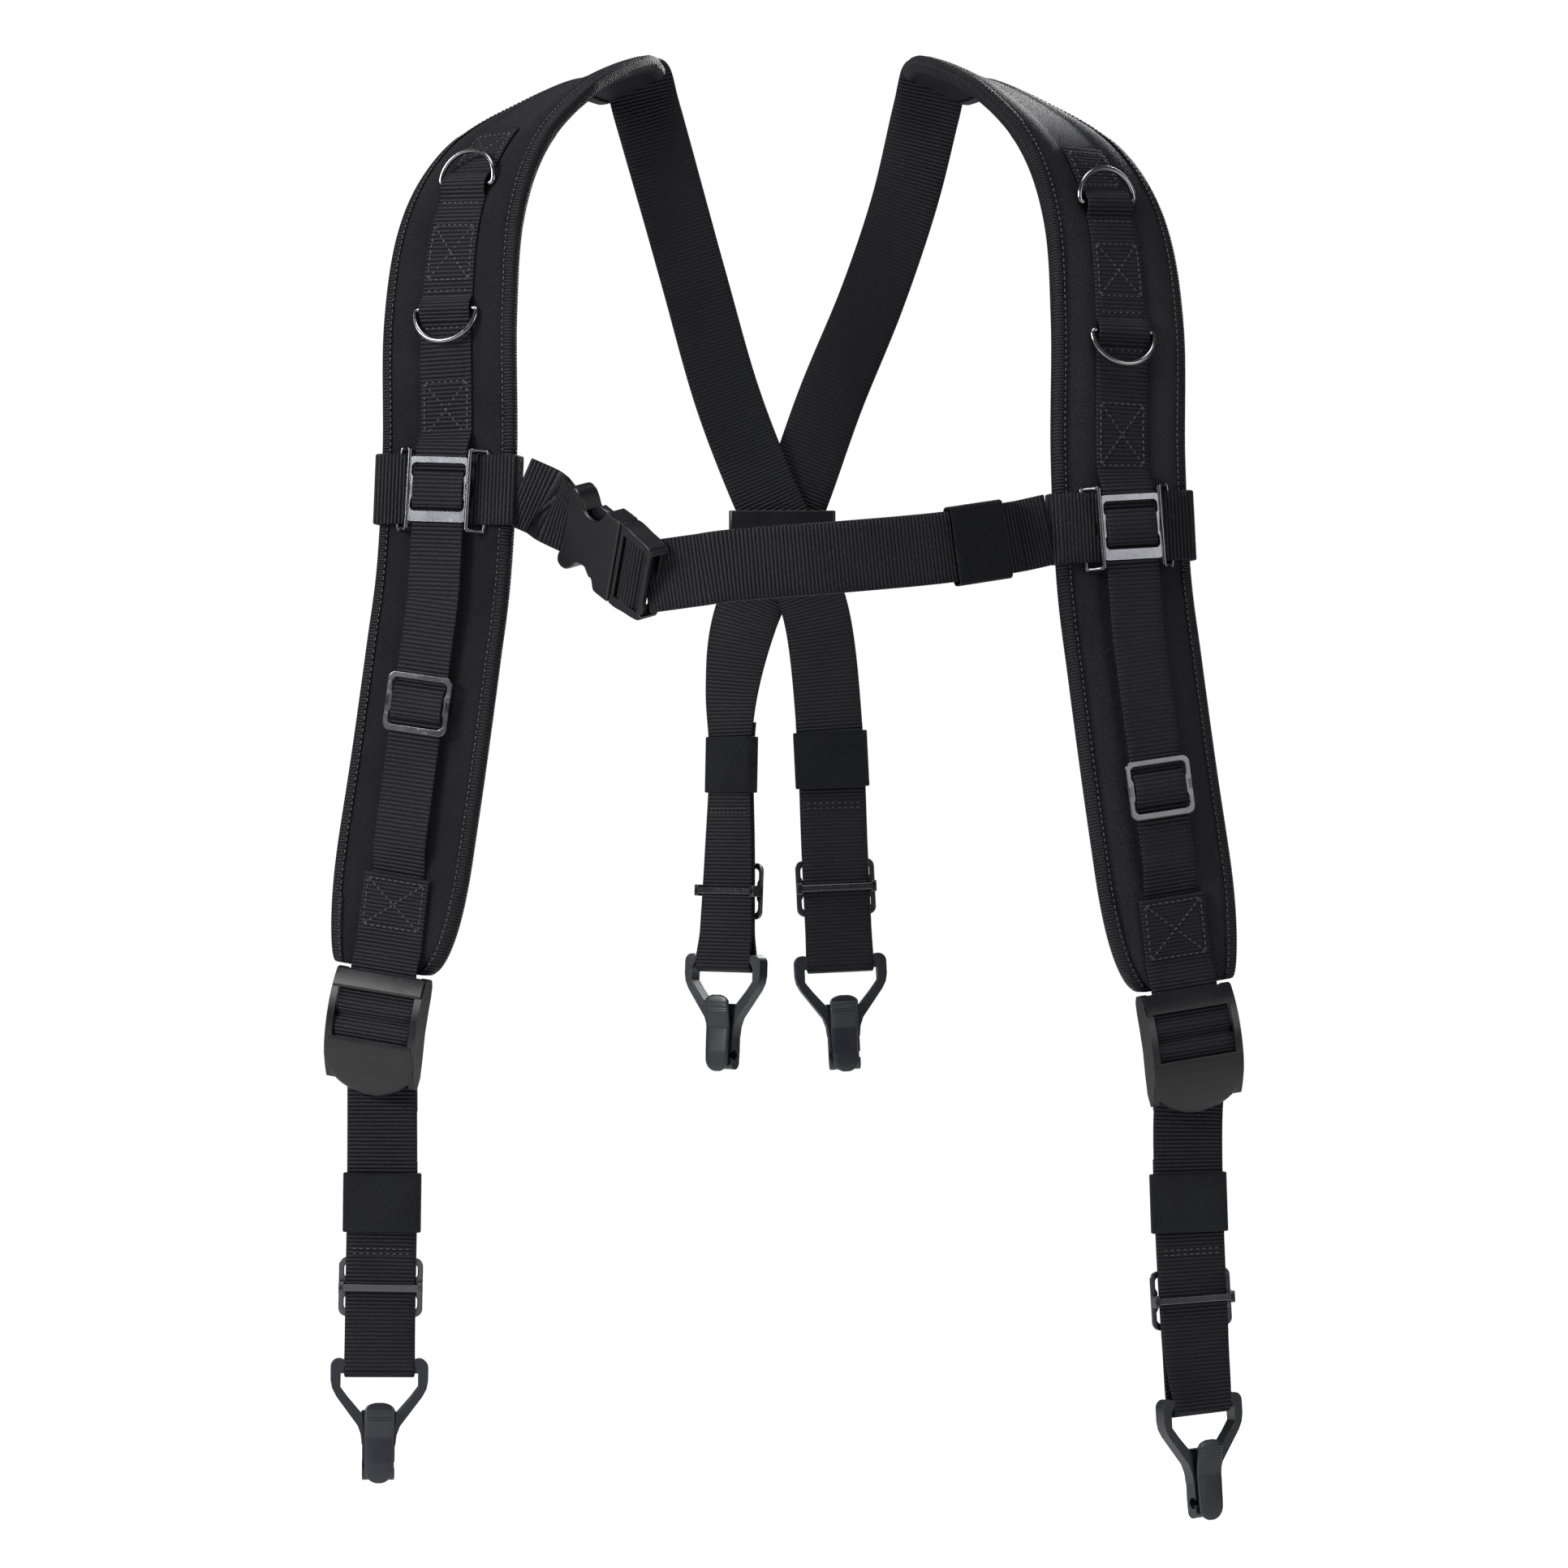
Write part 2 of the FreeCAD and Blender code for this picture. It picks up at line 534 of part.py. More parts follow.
def rear_web(side):
    """Rear webbing from the pad, over the saddle, across the back and down to the hook strap."""
    route = REAR_ROUTE[side]
    lower = t_at(route, SLIDE_Z[("rear", side)] - SLIDE_HEIGHT * 0.8)
    main = ribbon(route, 0.0, lower, web_strip(WEB, WEB_THICK, WEB_THICK / 2 + LAYERS / 2), 44)
    tail = hook_web(route, KEEPER_Z[("rear", side)] + KEEPER_HEIGHT / 2 + 8)
    return Part.makeCompound([main, tail])


def crossing_slide():
    """Flat plastic loop that holds the two rear webs where they cross."""
    wall = 2.4
    outer = rounded(box(-CROSSING_HALF - wall, CROSSING_HALF + wall, -7.0, 8.5, -8, 8), 2.0, Vector(0, 0, 1))
    return outer.cut(box(-CROSSING_HALF, CROSSING_HALF, -5.2, 6.7, -30, 30))


# ---- snap hook, its web bar on the origin, its front towards -y -----------------------------------------
def hook_body():
    """Moulded frame: two ears and a bar for the web, arms that meet in a body, and an eye low in the body."""
    half = HOOK_WIDTH / 2
    d = HOOK_BODY_DEPTH
    pieces = [rod(HOOK_BAR_R, -half + 2, half - 2)]
    for s in (-1, 1):
        ear = Part.makeCylinder(5.2, 4.5, Vector(s * (half - 2.25) - 2.25, 0, 0), Vector(1, 0, 0))
        arm = [Vector(s * half, -d / 2, -2), Vector(s * (half - 4.5), -d / 2, -2),
               Vector(s * (half - 4.5), -d / 2, -9), Vector(s * 7.5, -d / 2, -27),
               Vector(s * 7.5, -d / 2, -33), Vector(s * (half - 1), -d / 2, -11)]
        face = Part.Face(Part.makePolygon(arm + arm[:1]))
        pieces += [ear, face.extrude(Vector(0, d, 0))]
    shank = box(-SHANK_HALF, SHANK_HALF, -d / 2, d / 2, -HOOK_LENGTH + d / 2, HOOK_THROAT)
    pieces.append(shank)
    body = joined(pieces)
    slot = box(-LEVER_HALF - GAP, LEVER_HALF + GAP, -d, HOOK_SLOT_Y, -HOOK_LENGTH - 10, HOOK_THROAT + 6)
    eye = rod(EYE_R, -HOOK_WIDTH, HOOK_WIDTH, EYE_Y, EYE_Z)
    bore = rod(PIN_R, -20, 20, -d / 2 + 2.4, HOOK_PIN_Z)
    tip = rod(d / 2 - 0.2, -SHANK_HALF, SHANK_HALF, 0, -HOOK_LENGTH + d / 2)
    body = joined([body, tip]).cut(slot).cut(eye).cut(bore)
    return body


def hook_lever():
    """Spring lever: thumb pad above its pin, gate below it that closes over the eye."""
    d = HOOK_BODY_DEPTH
    half = LEVER_HALF
    front = -d / 2 - 3.0
    side = [(front + 1.0, -19), (front - 2.2, -20), (front - 2.8, -28), (front - 0.2, -36), (front - 0.6, -50),
            (front + 0.6, -HOOK_LENGTH - 1.5), (front + 2.7, -HOOK_LENGTH - 1.5), (front + 2.4, -50),
            (front + 2.8, -44), (-d / 2 + 4.4, -41.0), (-d / 2 + 4.4, -35.4), (front + 2.4, -30), (front + 0.6, -24)]
    face = Part.Face(Part.makePolygon([Vector(-half, y, z) for y, z in side + side[:1]]))
    lever = face.extrude(Vector(2 * half, 0, 0))
    return lever.cut(rod(PIN_R + PIN_PLAY, -20, 20, -d / 2 + 2.4, HOOK_PIN_Z))


def hook_pin():
    """Cross pin of the lever, flush with the body's sides."""
    return rod(PIN_R, SEWN - SHANK_HALF, SHANK_HALF - SEWN, -HOOK_BODY_DEPTH / 2 + 2.4, HOOK_PIN_Z)


def hook_spring():
    """Bent leaf spring under the thumb pad."""
    back = HOOK_SLOT_Y - SEWN
    return joined([box(-2.5, 2.5, back - 0.5, back, -33.5, -26.5), box(-2.5, 2.5, -2.2, back, -27.1, -26.5)])


def buckle_spot():
    """Middle of the joint between the buckle's halves. Its x runs down the strap's width."""
    return spot(CHEST_ROUTE, 3.3)


def buckle_pieces():
    """Side-release buckle, modelled with x along the strap, y away from the viewer and z up."""
    w, h = BUCKLE_WIDTH / 2, BUCKLE_THICK / 2
    shell = rounded(box(-SHELL_LENGTH + 8, 8, -h, h, -w, w), 4.0, Vector(1, 0, 0))
    room = box(PRONG_TIP - 4.5, 9, -h + SHELL_WALL, h - SHELL_WALL, -w + SHELL_WALL, w - SHELL_WALL)
    ports = [box(PRONG_TIP - 0.5, -4, -h + SHELL_WALL, h - SHELL_WALL, s, s + SHELL_WALL + 2) for s in (-w - 2, w - SHELL_WALL)]
    web_slot = box(-SHELL_LENGTH + 13, -SHELL_LENGTH + 17, -h - 1, h + 1, -WEB / 2 - 0.5, WEB / 2 + 0.5)
    shell = shell.cut(room).cut(web_slot)
    for port in ports:
        shell = shell.cut(port)
    base = rounded(box(8.6, 8 + MALE_LENGTH, -h, h, -w, w), 3.0, Vector(1, 0, 0))
    for slot in (14.0, 23.0):
        base = base.cut(box(slot, slot + 5.0, -h - 1, h + 1, -WEB / 2 - 0.5, WEB / 2 + 0.5))
    tongue = box(-14, 9, -1.6, 1.6, -3, 3)
    deep = PRONG_DEPTH / 2
    x, z = KNUCKLE
    roots = [box(x + 0.7, 9, -deep, deep, s * z - 2.4, s * z + 2.4) for s in (-1, 1)]
    base = joined([base, tongue] + roots)
    for s in (-1, 1):
        base = base.cut(Part.makeCylinder(KNUCKLE_R + GAP, 2 * deep, Vector(x, -deep, s * z), Vector(0, 1, 0)))
    prongs = []
    for s in (1, -1):
        points = [(2.0, 14.0), (2.0, 17.2), (-6, 21.6), (PRONG_TIP + 5.5, 21.8), (PRONG_TIP, 17.0),
                  (PRONG_TIP, 13.0), (-6, 15.5)]
        face = Part.Face(Part.makePolygon([Vector(px, -deep, s * pz) for px, pz in points + points[:1]]))
        knuckle = Part.makeCylinder(KNUCKLE_R, 2 * deep, Vector(x, -deep, s * z), Vector(0, 1, 0))
        prongs.append(joined([face.extrude(Vector(0, 2 * deep, 0)), knuckle]))
    return shell, base, prongs[0], prongs[1]


def buckle_placed(shape):
    """A buckle piece moved to the chest strap."""
    centre, across, outward, along = buckle_spot()
    matrix = FreeCAD.Matrix(
        along.x, -outward.x, across.x, centre.x,
        along.y, -outward.y, across.y, centre.y,
        along.z, -outward.z, across.z, centre.z,
        0, 0, 0, 1,
    )
    moved = shape.copy()
    moved.Placement = FreeCAD.Placement(matrix).multiply(shape.Placement)
    return moved


def band_edge(side):
    """Where the chest strap is sewn to the band round a pad, seen along the strap."""
    route = pad_route(side)
    centre, across, outward, _ = spot(route, t_at(route, CHEST_SLIDE_Z[side]))
    reach = BAND_HALF + WEB_THICK + SEWN
    centre = centre - across * (SIDES[side] * reach) + outward * (BAND - 2 * WEB_THICK)
    return centre, outward.cross(across), outward, across


def buckle_end(distance):
    """Spot on the buckle's axis at a distance from the joint between its halves."""
    centre, across, outward, along = buckle_spot()
    return centre + along * distance, across, outward, along


def chest_web(first, t0, t1, last, lift, steps):
    """Stretch of chest webbing that follows the route between two spots where it is held."""
    middle = [spot(CHEST_ROUTE, t0 + (t1 - t0) * i / steps) for i in range(steps + 1)]
    sections = []
    for centre, across, outward, _ in [first] + middle + ([last] if last else []):
        sections.append([centre + across * u + outward * n for u, n in web_strip(WEB, WEB_THICK, lift)])
    return loft(sections)


def chest_straps():
    """Two stretches of chest webbing: pad to the shell, and male half to the right pad with its doubled tail."""
    single = WEB_THICK / 2 + LAYERS / 2
    shell_end, male_end = buckle_end(8.0 - SHELL_LENGTH - GAP), buckle_end(8.0 + MALE_LENGTH + 2 * GAP)
    left = chest_web(band_edge("left"), 0.8, 1.6, shell_end, 0.0, 4)
    main = chest_web(male_end, 5.0, 9.6, band_edge("right"), -single, 18)
    tail = chest_web(male_end, 5.0, 9.3, None, single, 17)
    return left, main, tail


def hook_spots():
    """The four hooks' web bars."""
    spots = {}
    for side in SIDES:
        spots["front_" + side] = spot(FRONT_ROUTE[side], len(FRONT_ROUTE[side]) - 1)
        lower = "right" if side == "left" else "left"
        spots["rear_" + lower] = spot(REAR_ROUTE[side], len(REAR_ROUTE[side]) - 1)
    return spots


def lower_strap_spot(kind, side, z):
    """Spot on a lower strap's middle surface at one height."""
    route = (FRONT_ROUTE if kind == "front" else REAR_ROUTE)[side]
    return spot(route, t_at(route, z))


def build():
    """Every node's solid, by name."""
    nodes = {}
    for side in SIDES:
        nodes["pad_foam_" + side] = pad_layer(side, -FOAM / 2, FOAM / 2, 1.0)
        nodes["pad_cover_" + side] = Part.makeCompound([
            pad_layer(side, FOAM / 2 + SEWN, FACE), pad_layer(side, -FACE, -FOAM / 2 - SEWN)])
        nodes["pad_binding_" + side] = binding(side)
        nodes["pad_web_" + side] = pad_web(side)
        nodes["anchor_web_" + side] = anchor_web(side)
        nodes["chest_band_" + side] = chest_band(side)
        nodes["chest_slide_" + side] = placed(chest_slide(), chest_slide_spot(side))
        for number, name in enumerate(("upper", "lower")):
            ring = d_ring()
            if number == 0:
                ring.rotate(Vector(), Vector(1, 0, 0), -160)
            else:
                ring.rotate(Vector(), Vector(1, 0, 0), -12)
            nodes["d_ring_%s_%s" % (name, side)] = placed(ring, ring_spot(side, number))
        _, lower_run = free_web_runs(side)
        slide = web_slide(PAD_WEB, PAD_WEB_THICK, SLIDE_HEIGHT, 1)
        nodes["pad_slide_" + side] = placed(slide, spot(lower_run, t_at(lower_run, PAD_SLIDE_Z[side])))
        nodes["ladder_lock_" + side] = placed(ladder_lock(), lock_spot(side))
        nodes["front_strap_" + side] = front_strap(side)
        route = FRONT_ROUTE[side]
        nodes["front_hook_web_" + side] = hook_web(route, KEEPER_Z[("front", side)] + KEEPER_HEIGHT / 2 + 8)
        lower = "right" if side == "left" else "left"
        nodes["rear_web_" + side] = rear_web(side)
        for kind, name in (("front", "front_" + side), ("rear", "rear_" + lower)):
            slide = web_slide(WEB, 2 * WEB_THICK + LAYERS, SLIDE_HEIGHT, -1, STRAP_PLAY)
            nodes["strap_slide_" + name] = placed(slide, lower_strap_spot(kind, side, SLIDE_Z[(kind, side)]))
            band = keeper(WEB, -WEB_THICK - LAYERS / 2, WEB_THICK + LAYERS / 2)
            nodes["keeper_" + name] = placed(band, lower_strap_spot(kind, side, KEEPER_Z[(kind, side)]))
    for name, place in hook_spots().items():
        nodes["hook_body_" + name] = placed(hook_body(), place)
        nodes["hook_lever_" + name] = placed(hook_lever(), place)
        nodes["hook_pin_" + name] = placed(hook_pin(), place)
        nodes["hook_spring_" + name] = placed(hook_spring(), place)
    nodes["crossing_slide"] = crossing_slide().translated(Vector(-1, 99.0, -252))
    shell, base, upper, lower = (buckle_placed(p) for p in buckle_pieces())
    nodes["buckle_shell"], nodes["buckle_base"] = shell, base
    nodes["buckle_prong_upper"], nodes["buckle_prong_lower"] = upper, lower
    left, main, tail = chest_straps()
    nodes["chest_strap_left"], nodes["chest_strap_right"] = left, Part.makeCompound([main, tail])
    band = keeper(WEB, -WEB_THICK - LAYERS / 2, WEB_THICK + LAYERS / 2)
    nodes["keeper_chest"] = placed(band, spot(CHEST_ROUTE, 8.55))
    return nodes


def main():
    """Writes one STEP file for each node."""
    os.makedirs("parts", exist_ok=True)
    for name, shape in build().items():
        if not shape.isValid():
            print("not valid:", name)
        shape.exportStep("parts/%s.step" % name)
        print(name, len(shape.Solids), round(shape.Volume))


main()
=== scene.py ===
import math

import bmesh
import bpy
import numpy as np
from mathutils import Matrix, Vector


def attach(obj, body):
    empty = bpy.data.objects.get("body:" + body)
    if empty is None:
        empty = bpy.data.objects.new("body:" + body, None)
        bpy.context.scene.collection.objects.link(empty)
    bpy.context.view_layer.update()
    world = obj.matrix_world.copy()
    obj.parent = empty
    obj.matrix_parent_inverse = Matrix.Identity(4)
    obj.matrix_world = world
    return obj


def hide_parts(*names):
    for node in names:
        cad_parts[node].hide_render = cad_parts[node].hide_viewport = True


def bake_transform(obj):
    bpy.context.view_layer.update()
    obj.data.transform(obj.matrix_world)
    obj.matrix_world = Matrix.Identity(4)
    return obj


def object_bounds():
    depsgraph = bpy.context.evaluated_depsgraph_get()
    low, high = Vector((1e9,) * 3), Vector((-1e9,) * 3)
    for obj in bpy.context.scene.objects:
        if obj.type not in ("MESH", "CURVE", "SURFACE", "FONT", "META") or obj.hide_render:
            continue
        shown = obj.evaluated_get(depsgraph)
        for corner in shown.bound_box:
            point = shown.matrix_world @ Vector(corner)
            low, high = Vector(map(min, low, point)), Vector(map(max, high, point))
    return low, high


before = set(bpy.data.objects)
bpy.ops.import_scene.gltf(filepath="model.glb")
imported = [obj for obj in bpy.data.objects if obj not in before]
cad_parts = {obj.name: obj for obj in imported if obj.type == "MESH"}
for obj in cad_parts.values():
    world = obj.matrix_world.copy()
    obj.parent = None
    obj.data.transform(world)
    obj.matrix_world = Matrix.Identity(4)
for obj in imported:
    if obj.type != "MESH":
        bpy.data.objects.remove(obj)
cad_low, cad_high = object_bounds()

# ======================================================================================================
# Camera, floor and light. The harness hangs as on a wearer, seen from the front at chest height, over a
# plain pale floor, in soft studio light that comes mostly from the viewer's left.
MM = 0.001
CAMERA_DISTANCE = 3.5
CAMERA_HEIGHT = -0.4
LENS_MM = 144.62
FLOOR_Z = cad_low.z - 0.26

camera = bpy.data.objects.new("camera", bpy.data.cameras.new("camera"))
camera.data.lens = LENS_MM
camera.data.sensor_width = 36.0
camera.data.clip_end = 60.0
camera.location = (0.0, -CAMERA_DISTANCE, CAMERA_HEIGHT)
camera.rotation_euler = (math.radians(90), 0.0, 0.0)
bpy.context.scene.collection.objects.link(camera)
bpy.context.scene.camera = camera
bpy.context.scene.view_settings.view_transform = "Standard"


def node(tree, kind, **sockets):
    """A shader node with some of its inputs set or linked, by socket name."""
    made = tree.nodes.new(kind)
    for name, value in sockets.items():
        socket = made.inputs[name.replace("_", " ")]
        if isinstance(value, bpy.types.NodeSocket):
            tree.links.new(value, socket)
        else:
            socket.default_value = value
    return made


def calc(tree, operation, *values):
    """A Math node's result, from numbers or other nodes' outputs."""
    made = tree.nodes.new("ShaderNodeMath")
    made.operation = operation
    for socket, value in zip(made.inputs, values):
        if isinstance(value, bpy.types.NodeSocket):
            tree.links.new(value, socket)
        else:
            socket.default_value = value
    return made.outputs[0]


def blend_colour(tree, amount, low, high):
    """A Mix node's colour between two colours, by an amount from another node."""
    made = tree.nodes.new("ShaderNodeMix")
    made.data_type = "RGBA"
    for socket, value in ((made.inputs[0], amount), (made.inputs[6], low), (made.inputs[7], high)):
        if isinstance(value, bpy.types.NodeSocket):
            tree.links.new(value, socket)
        else:
            socket.default_value = value
    return made.outputs[2]


def backdrop_material():
    """Pale paper that the camera sees as white, and that still takes a shadow."""
    material = bpy.data.materials.new("pale_floor")
    material.use_nodes = True
    tree = material.node_tree
    tree.nodes.clear()
    path = tree.nodes.new("ShaderNodeLightPath")
    seen = calc(tree, "MAXIMUM", path.outputs["Is Camera Ray"], path.outputs["Is Transmission Ray"])
    paper = node(tree, "ShaderNodeBsdfDiffuse", Color=(0.86, 0.86, 0.86, 1.0))
    glow = node(tree, "ShaderNodeEmission", Color=(1.0, 1.0, 1.0, 1.0), Strength=0.9)
    dark = node(tree, "ShaderNodeEmission", Color=(0.0, 0.0, 0.0, 1.0), Strength=0.0)
    lit = tree.nodes.new("ShaderNodeMixShader")
    tree.links.new(seen, lit.inputs[0])
    tree.links.new(dark.outputs[0], lit.inputs[1])
    tree.links.new(glow.outputs[0], lit.inputs[2])
    both = node(tree, "ShaderNodeAddShader")
    tree.links.new(paper.outputs[0], both.inputs[0])
    tree.links.new(lit.outputs[0], both.inputs[1])
    out = tree.nodes.new("ShaderNodeOutputMaterial")
    tree.links.new(both.outputs[0], out.inputs[0])
    return material


bpy.ops.mesh.primitive_plane_add(size=24.0, location=(0.0, 0.0, FLOOR_Z))
floor = bpy.context.object
floor.name = "floor"
floor.data.materials.append(backdrop_material())

world = bpy.data.worlds.new("studio")
world.use_nodes = True
bpy.context.scene.world = world
sky = world.node_tree
sky.nodes.clear()
ray = sky.nodes.new("ShaderNodeLightPath")
direct = calc(sky, "MAXIMUM", ray.outputs["Is Camera Ray"], ray.outputs["Is Transmission Ray"])
ambient = node(sky, "ShaderNodeBackground", Color=(1.0, 1.0, 1.0, 1.0), Strength=0.13)
white = node(sky, "ShaderNodeBackground", Color=(1.0, 1.0, 1.0, 1.0), Strength=1.0)
choose = sky.nodes.new("ShaderNodeMixShader")
sky.links.new(direct, choose.inputs[0])
sky.links.new(ambient.outputs[0], choose.inputs[1])
sky.links.new(white.outputs[0], choose.inputs[2])
sky.links.new(choose.outputs[0], sky.nodes.new("ShaderNodeOutputWorld").inputs[0])


def softbox(name, place, aim, size, power):
    """Square studio lamp at one point, turned to another."""
    lamp = bpy.data.lights.new(name, "AREA")
    lamp.size = size
    lamp.energy = power
    made = bpy.data.objects.new(name, lamp)
    made.location = place
    made.rotation_euler = (Vector(aim) - Vector(place)).to_track_quat("-Z", "Y").to_euler()
    bpy.context.scene.collection.objects.link(made)


MIDDLE = (0.0, 0.0, -0.4)
softbox("key_left", (-2.2, -1.5, 0.7), MIDDLE, 1.0, 95.0)
softbox("fill_right", (2.2, -1.8, 0.2), MIDDLE, 1.2, 20.0)
softbox("top", (0.0, -0.6, 2.0), MIDDLE, 1.2, 34.0)
softbox("low_front", (-0.5, -2.4, -1.0), MIDDLE, 1.2, 3.0)
softbox("behind", (1.0, 2.3, 0.7), MIDDLE, 1.2, 34.0)

# ======================================================================================================
# Routes that the pads and straps follow, as they hang. They are soft goods cut from flat goods, and each
# follows the same rows as its solid: x, y, z in millimetres, then the way its outer face looks.
PAD_ROUTE = [
    (86, 30, -8, 0.20, 0.35, 0.90),
    (99, 4, -7, 0.36, -0.12, 0.93),
    (128, -36, -25, 0.54, -0.40, 0.74),
    (157, -70, -54, 0.55, -0.60, 0.58),
    (174, -91, -95, 0.46, -0.78, 0.42),
    (180, -102, -150, 0.36, -0.91, 0.18),
    (180, -108, -220, 0.34, -0.94, 0.04),
    (183, -110, -284, 0.34, -0.94, 0.0),
    (189, -110, -332, 0.33, -0.94, 0.0),
    (197, -109, -390, 0.32, -0.94, 0.0),
    (206, -106, -450, 0.31, -0.95, -0.05),
    (212, -101, -500, 0.31, -0.95, -0.06),
]
PAD_HALF = (22, 28, 35, 38, 38, 38, 38, 38, 38, 38, 38, 38)
PAD_END_HALF = {"outer": 31.0, "inner": 21.0}
PAD_END_START = 9.7
PAD_STRETCH = {"left": 1.0, "right": 1.018}
REAR_ROUTE = {
    "left": [
        (-98, 5, 3.5, 0.30, 0.0, -1.0),
        (-84, 32, 0.5, 0.15, -0.45, -0.85),
        (-77, 45, -22, 0.10, -0.98, -0.30),
        (-63, 57, -72, 0.20, -0.97, -0.12),
        (-51, 67, -115, 0.22, -0.97, -0.10),
        (-33, 84, -178, 0.15, -0.98, -0.12),
        (-13, 96, -230, 0.06, -1.0, -0.06),
        (4, 98, -266, 0.02, -1.0, 0.0),
        (19, 99, -306, 0.04, -1.0, 0.0),
        (26, 98, -370, 0.06, -1.0, 0.0),
        (29, 96, -440, 0.10, -1.0, 0.0),
        (32, 94, -503, 0.14, -1.0, 0.0),
    ],
    "right": [
        (98, 5, 3.5, -0.30, 0.0, -1.0),
        (86, 34, 0.5, -0.15, -0.45, -0.85),
        (80, 46, -22, -0.10, -0.98, -0.30),
        (68, 58, -72, -0.25, -0.96, -0.12),
        (50, 72, -125, -0.25, -0.96, -0.10),
        (27, 89, -180, -0.15, -0.98, -0.12),
        (9, 101, -230, -0.06, -1.0, -0.06),
        (-5, 103, -266, -0.05, -1.0, 0.0),
        (-22, 103, -306, -0.22, -0.97, 0.0),
        (-29, 102, -345, -0.60, -0.80, 0.0),
        (-30, 101, -385, -0.78, -0.62, 0.0),
        (-31, 100, -440, -0.70, -0.71, 0.0),
        (-33, 98, -503, -0.57, -0.82, 0.0),
    ],
}
FRONT_ROUTE = {
    "left": [
        (-218, -96, -520, -0.20, -0.98, 0.0),
        (-217, -97, -560, -0.10, -0.99, 0.0),
        (-217, -98, -620, 0.0, -1.0, 0.0),
        (-218, -98, -680, 0.06, -1.0, 0.0),
        (-218.5, -98, -716, 0.12, -1.0, 0.0),
    ],
    "right": [
        (222, -96, -538, 0.22, -0.98, 0.0),
        (218, -98, -580, 0.12, -0.99, 0.0),
        (219, -99, -640, 0.20, -0.98, 0.0),
        (222, -99, -700, 0.30, -0.95, 0.0),
        (224, -99, -736, 0.54, -0.84, 0.0),
    ],
}
CHEST_ROUTE = [
    (-134, -128, -244, 0.10, -0.99, 0.0),
    (-128, -128, -250, -0.20, -0.97, -0.05),
    (-120, -131, -257, -0.62, -0.76, -0.18),
    (-98, -150, -272, -0.74, -0.62, -0.22),
    (-73, -172, -289, -0.74, -0.62, -0.22),
    (-50, -182, -288, -0.20, -0.97, -0.05),
    (-28, -184, -285, 0.0, -1.0, 0.0),
    (20, -176, -281, 0.12, -0.99, 0.0),
    (80, -156, -275, 0.22, -0.97, 0.0),
    (118, -138, -269, 0.22, -0.97, 0.0),
    (137, -128, -265, 0.05, -1.0, 0.0),
]
SIDES = {"left": -1, "right": 1}


def spline(route, t):
    """Rows of a route at many t: Hermite cubic between rows, each slope half the span of its neighbours."""
    rows = np.asarray(route, float)
    t = np.atleast_1d(np.asarray(t, float))
    last = len(rows) - 2
    i = np.clip(np.floor(t).astype(int), 0, last)
    f = (t - i)[:, None]
    a, b = rows[i], rows[i + 1]
    before = np.where((i > 0)[:, None], rows[np.maximum(i - 1, 0)], 2 * a - b)
    after = np.where((i < last)[:, None], rows[np.minimum(i + 2, last + 1)], 2 * b - a)
    start, end = (b - before) / 2, (after - a) / 2
    return ((2 * f**3 - 3 * f**2 + 1) * a + (f**3 - 2 * f**2 + f) * start
            + (3 * f**2 - 2 * f**3) * b + (f**3 - f**2) * end)


def unit(vectors):
    """Vectors divided by their lengths."""
    return vectors / np.linalg.norm(vectors, axis=-1, keepdims=True)


def spots(route, t):
    """Centres, across, outward and along directions at many t. Across is outward x along."""
    rows = spline(route, t)
    t = np.atleast_1d(np.asarray(t, float))
    ahead, behind = np.minimum(t + 0.01, len(route) - 1), np.maximum(t - 0.01, 0)
    along = unit(spline(route, ahead)[:, :3] - spline(route, behind)[:, :3])
    outward = rows[:, 3:6] - (rows[:, 3:6] * along).sum(1)[:, None] * along
    outward = unit(outward)
    return rows[:, :3], np.cross(outward, along), outward, along


def smooth_path(rows, count):
    """Many points of the spline through rows of two numbers."""
    rows = np.array(rows)
    return spline(np.column_stack([rows, np.zeros(len(rows))]), np.linspace(0, len(rows) - 1, count))[:, :2]


def at_height(route, z):
    """The last t at which the route passes a height."""
    t = np.linspace(0, len(route) - 1, 60 * (len(route) - 1) + 1)
    height = spline(route, t)[:, 2] - z
    found = np.nonzero(height[:-1] * height[1:] <= 0)[0][-1]
    share = height[found] / (height[found] - height[found + 1])
    return t[found] + share * (t[found + 1] - t[found])


def pad_route(side):
    """One pad's route: the right one's rows, mirrored for the left, stretched to that pad's length."""
    rows = np.asarray(PAD_ROUTE, float)
    flip = np.array([SIDES[side], 1, PAD_STRETCH[side], SIDES[side], 1, 1])
    return rows * flip


# ======================================================================================================
# Webbing. Nylon woven flat with heavy cross ribs and a rolled edge: 38 mm on the load straps and 30 mm on
# the pads. Every strap below is one closed tube with this section, bent along its route.
WEB = 38.0
WEB_THICK = 1.8
PAD_WEB = 30.0
PAD_WEB_THICK = 1.4
LAYERS = 0.3
SEWN = 0.1
GAP = 0.3


def web_section(width, thick, shift=0.0, lift=0.0, corners=5):
    """Rounded rectangle as (across, outward) points, its ends half circles of the webbing's thickness."""
    r = thick / 2
    half = width / 2 - r
    turn = np.linspace(-np.pi / 2, np.pi / 2, corners)
    right = np.stack([half + r * np.cos(turn), r * np.sin(turn)], 1)
    top = np.stack([np.linspace(half, -half, 9)[1:-1], np.full(7, r)], 1)
    left = np.stack([-half - r * np.cos(turn), -r * np.sin(turn)], 1)
    return np.concatenate([right, top, left, -top]) + np.array([shift, lift])


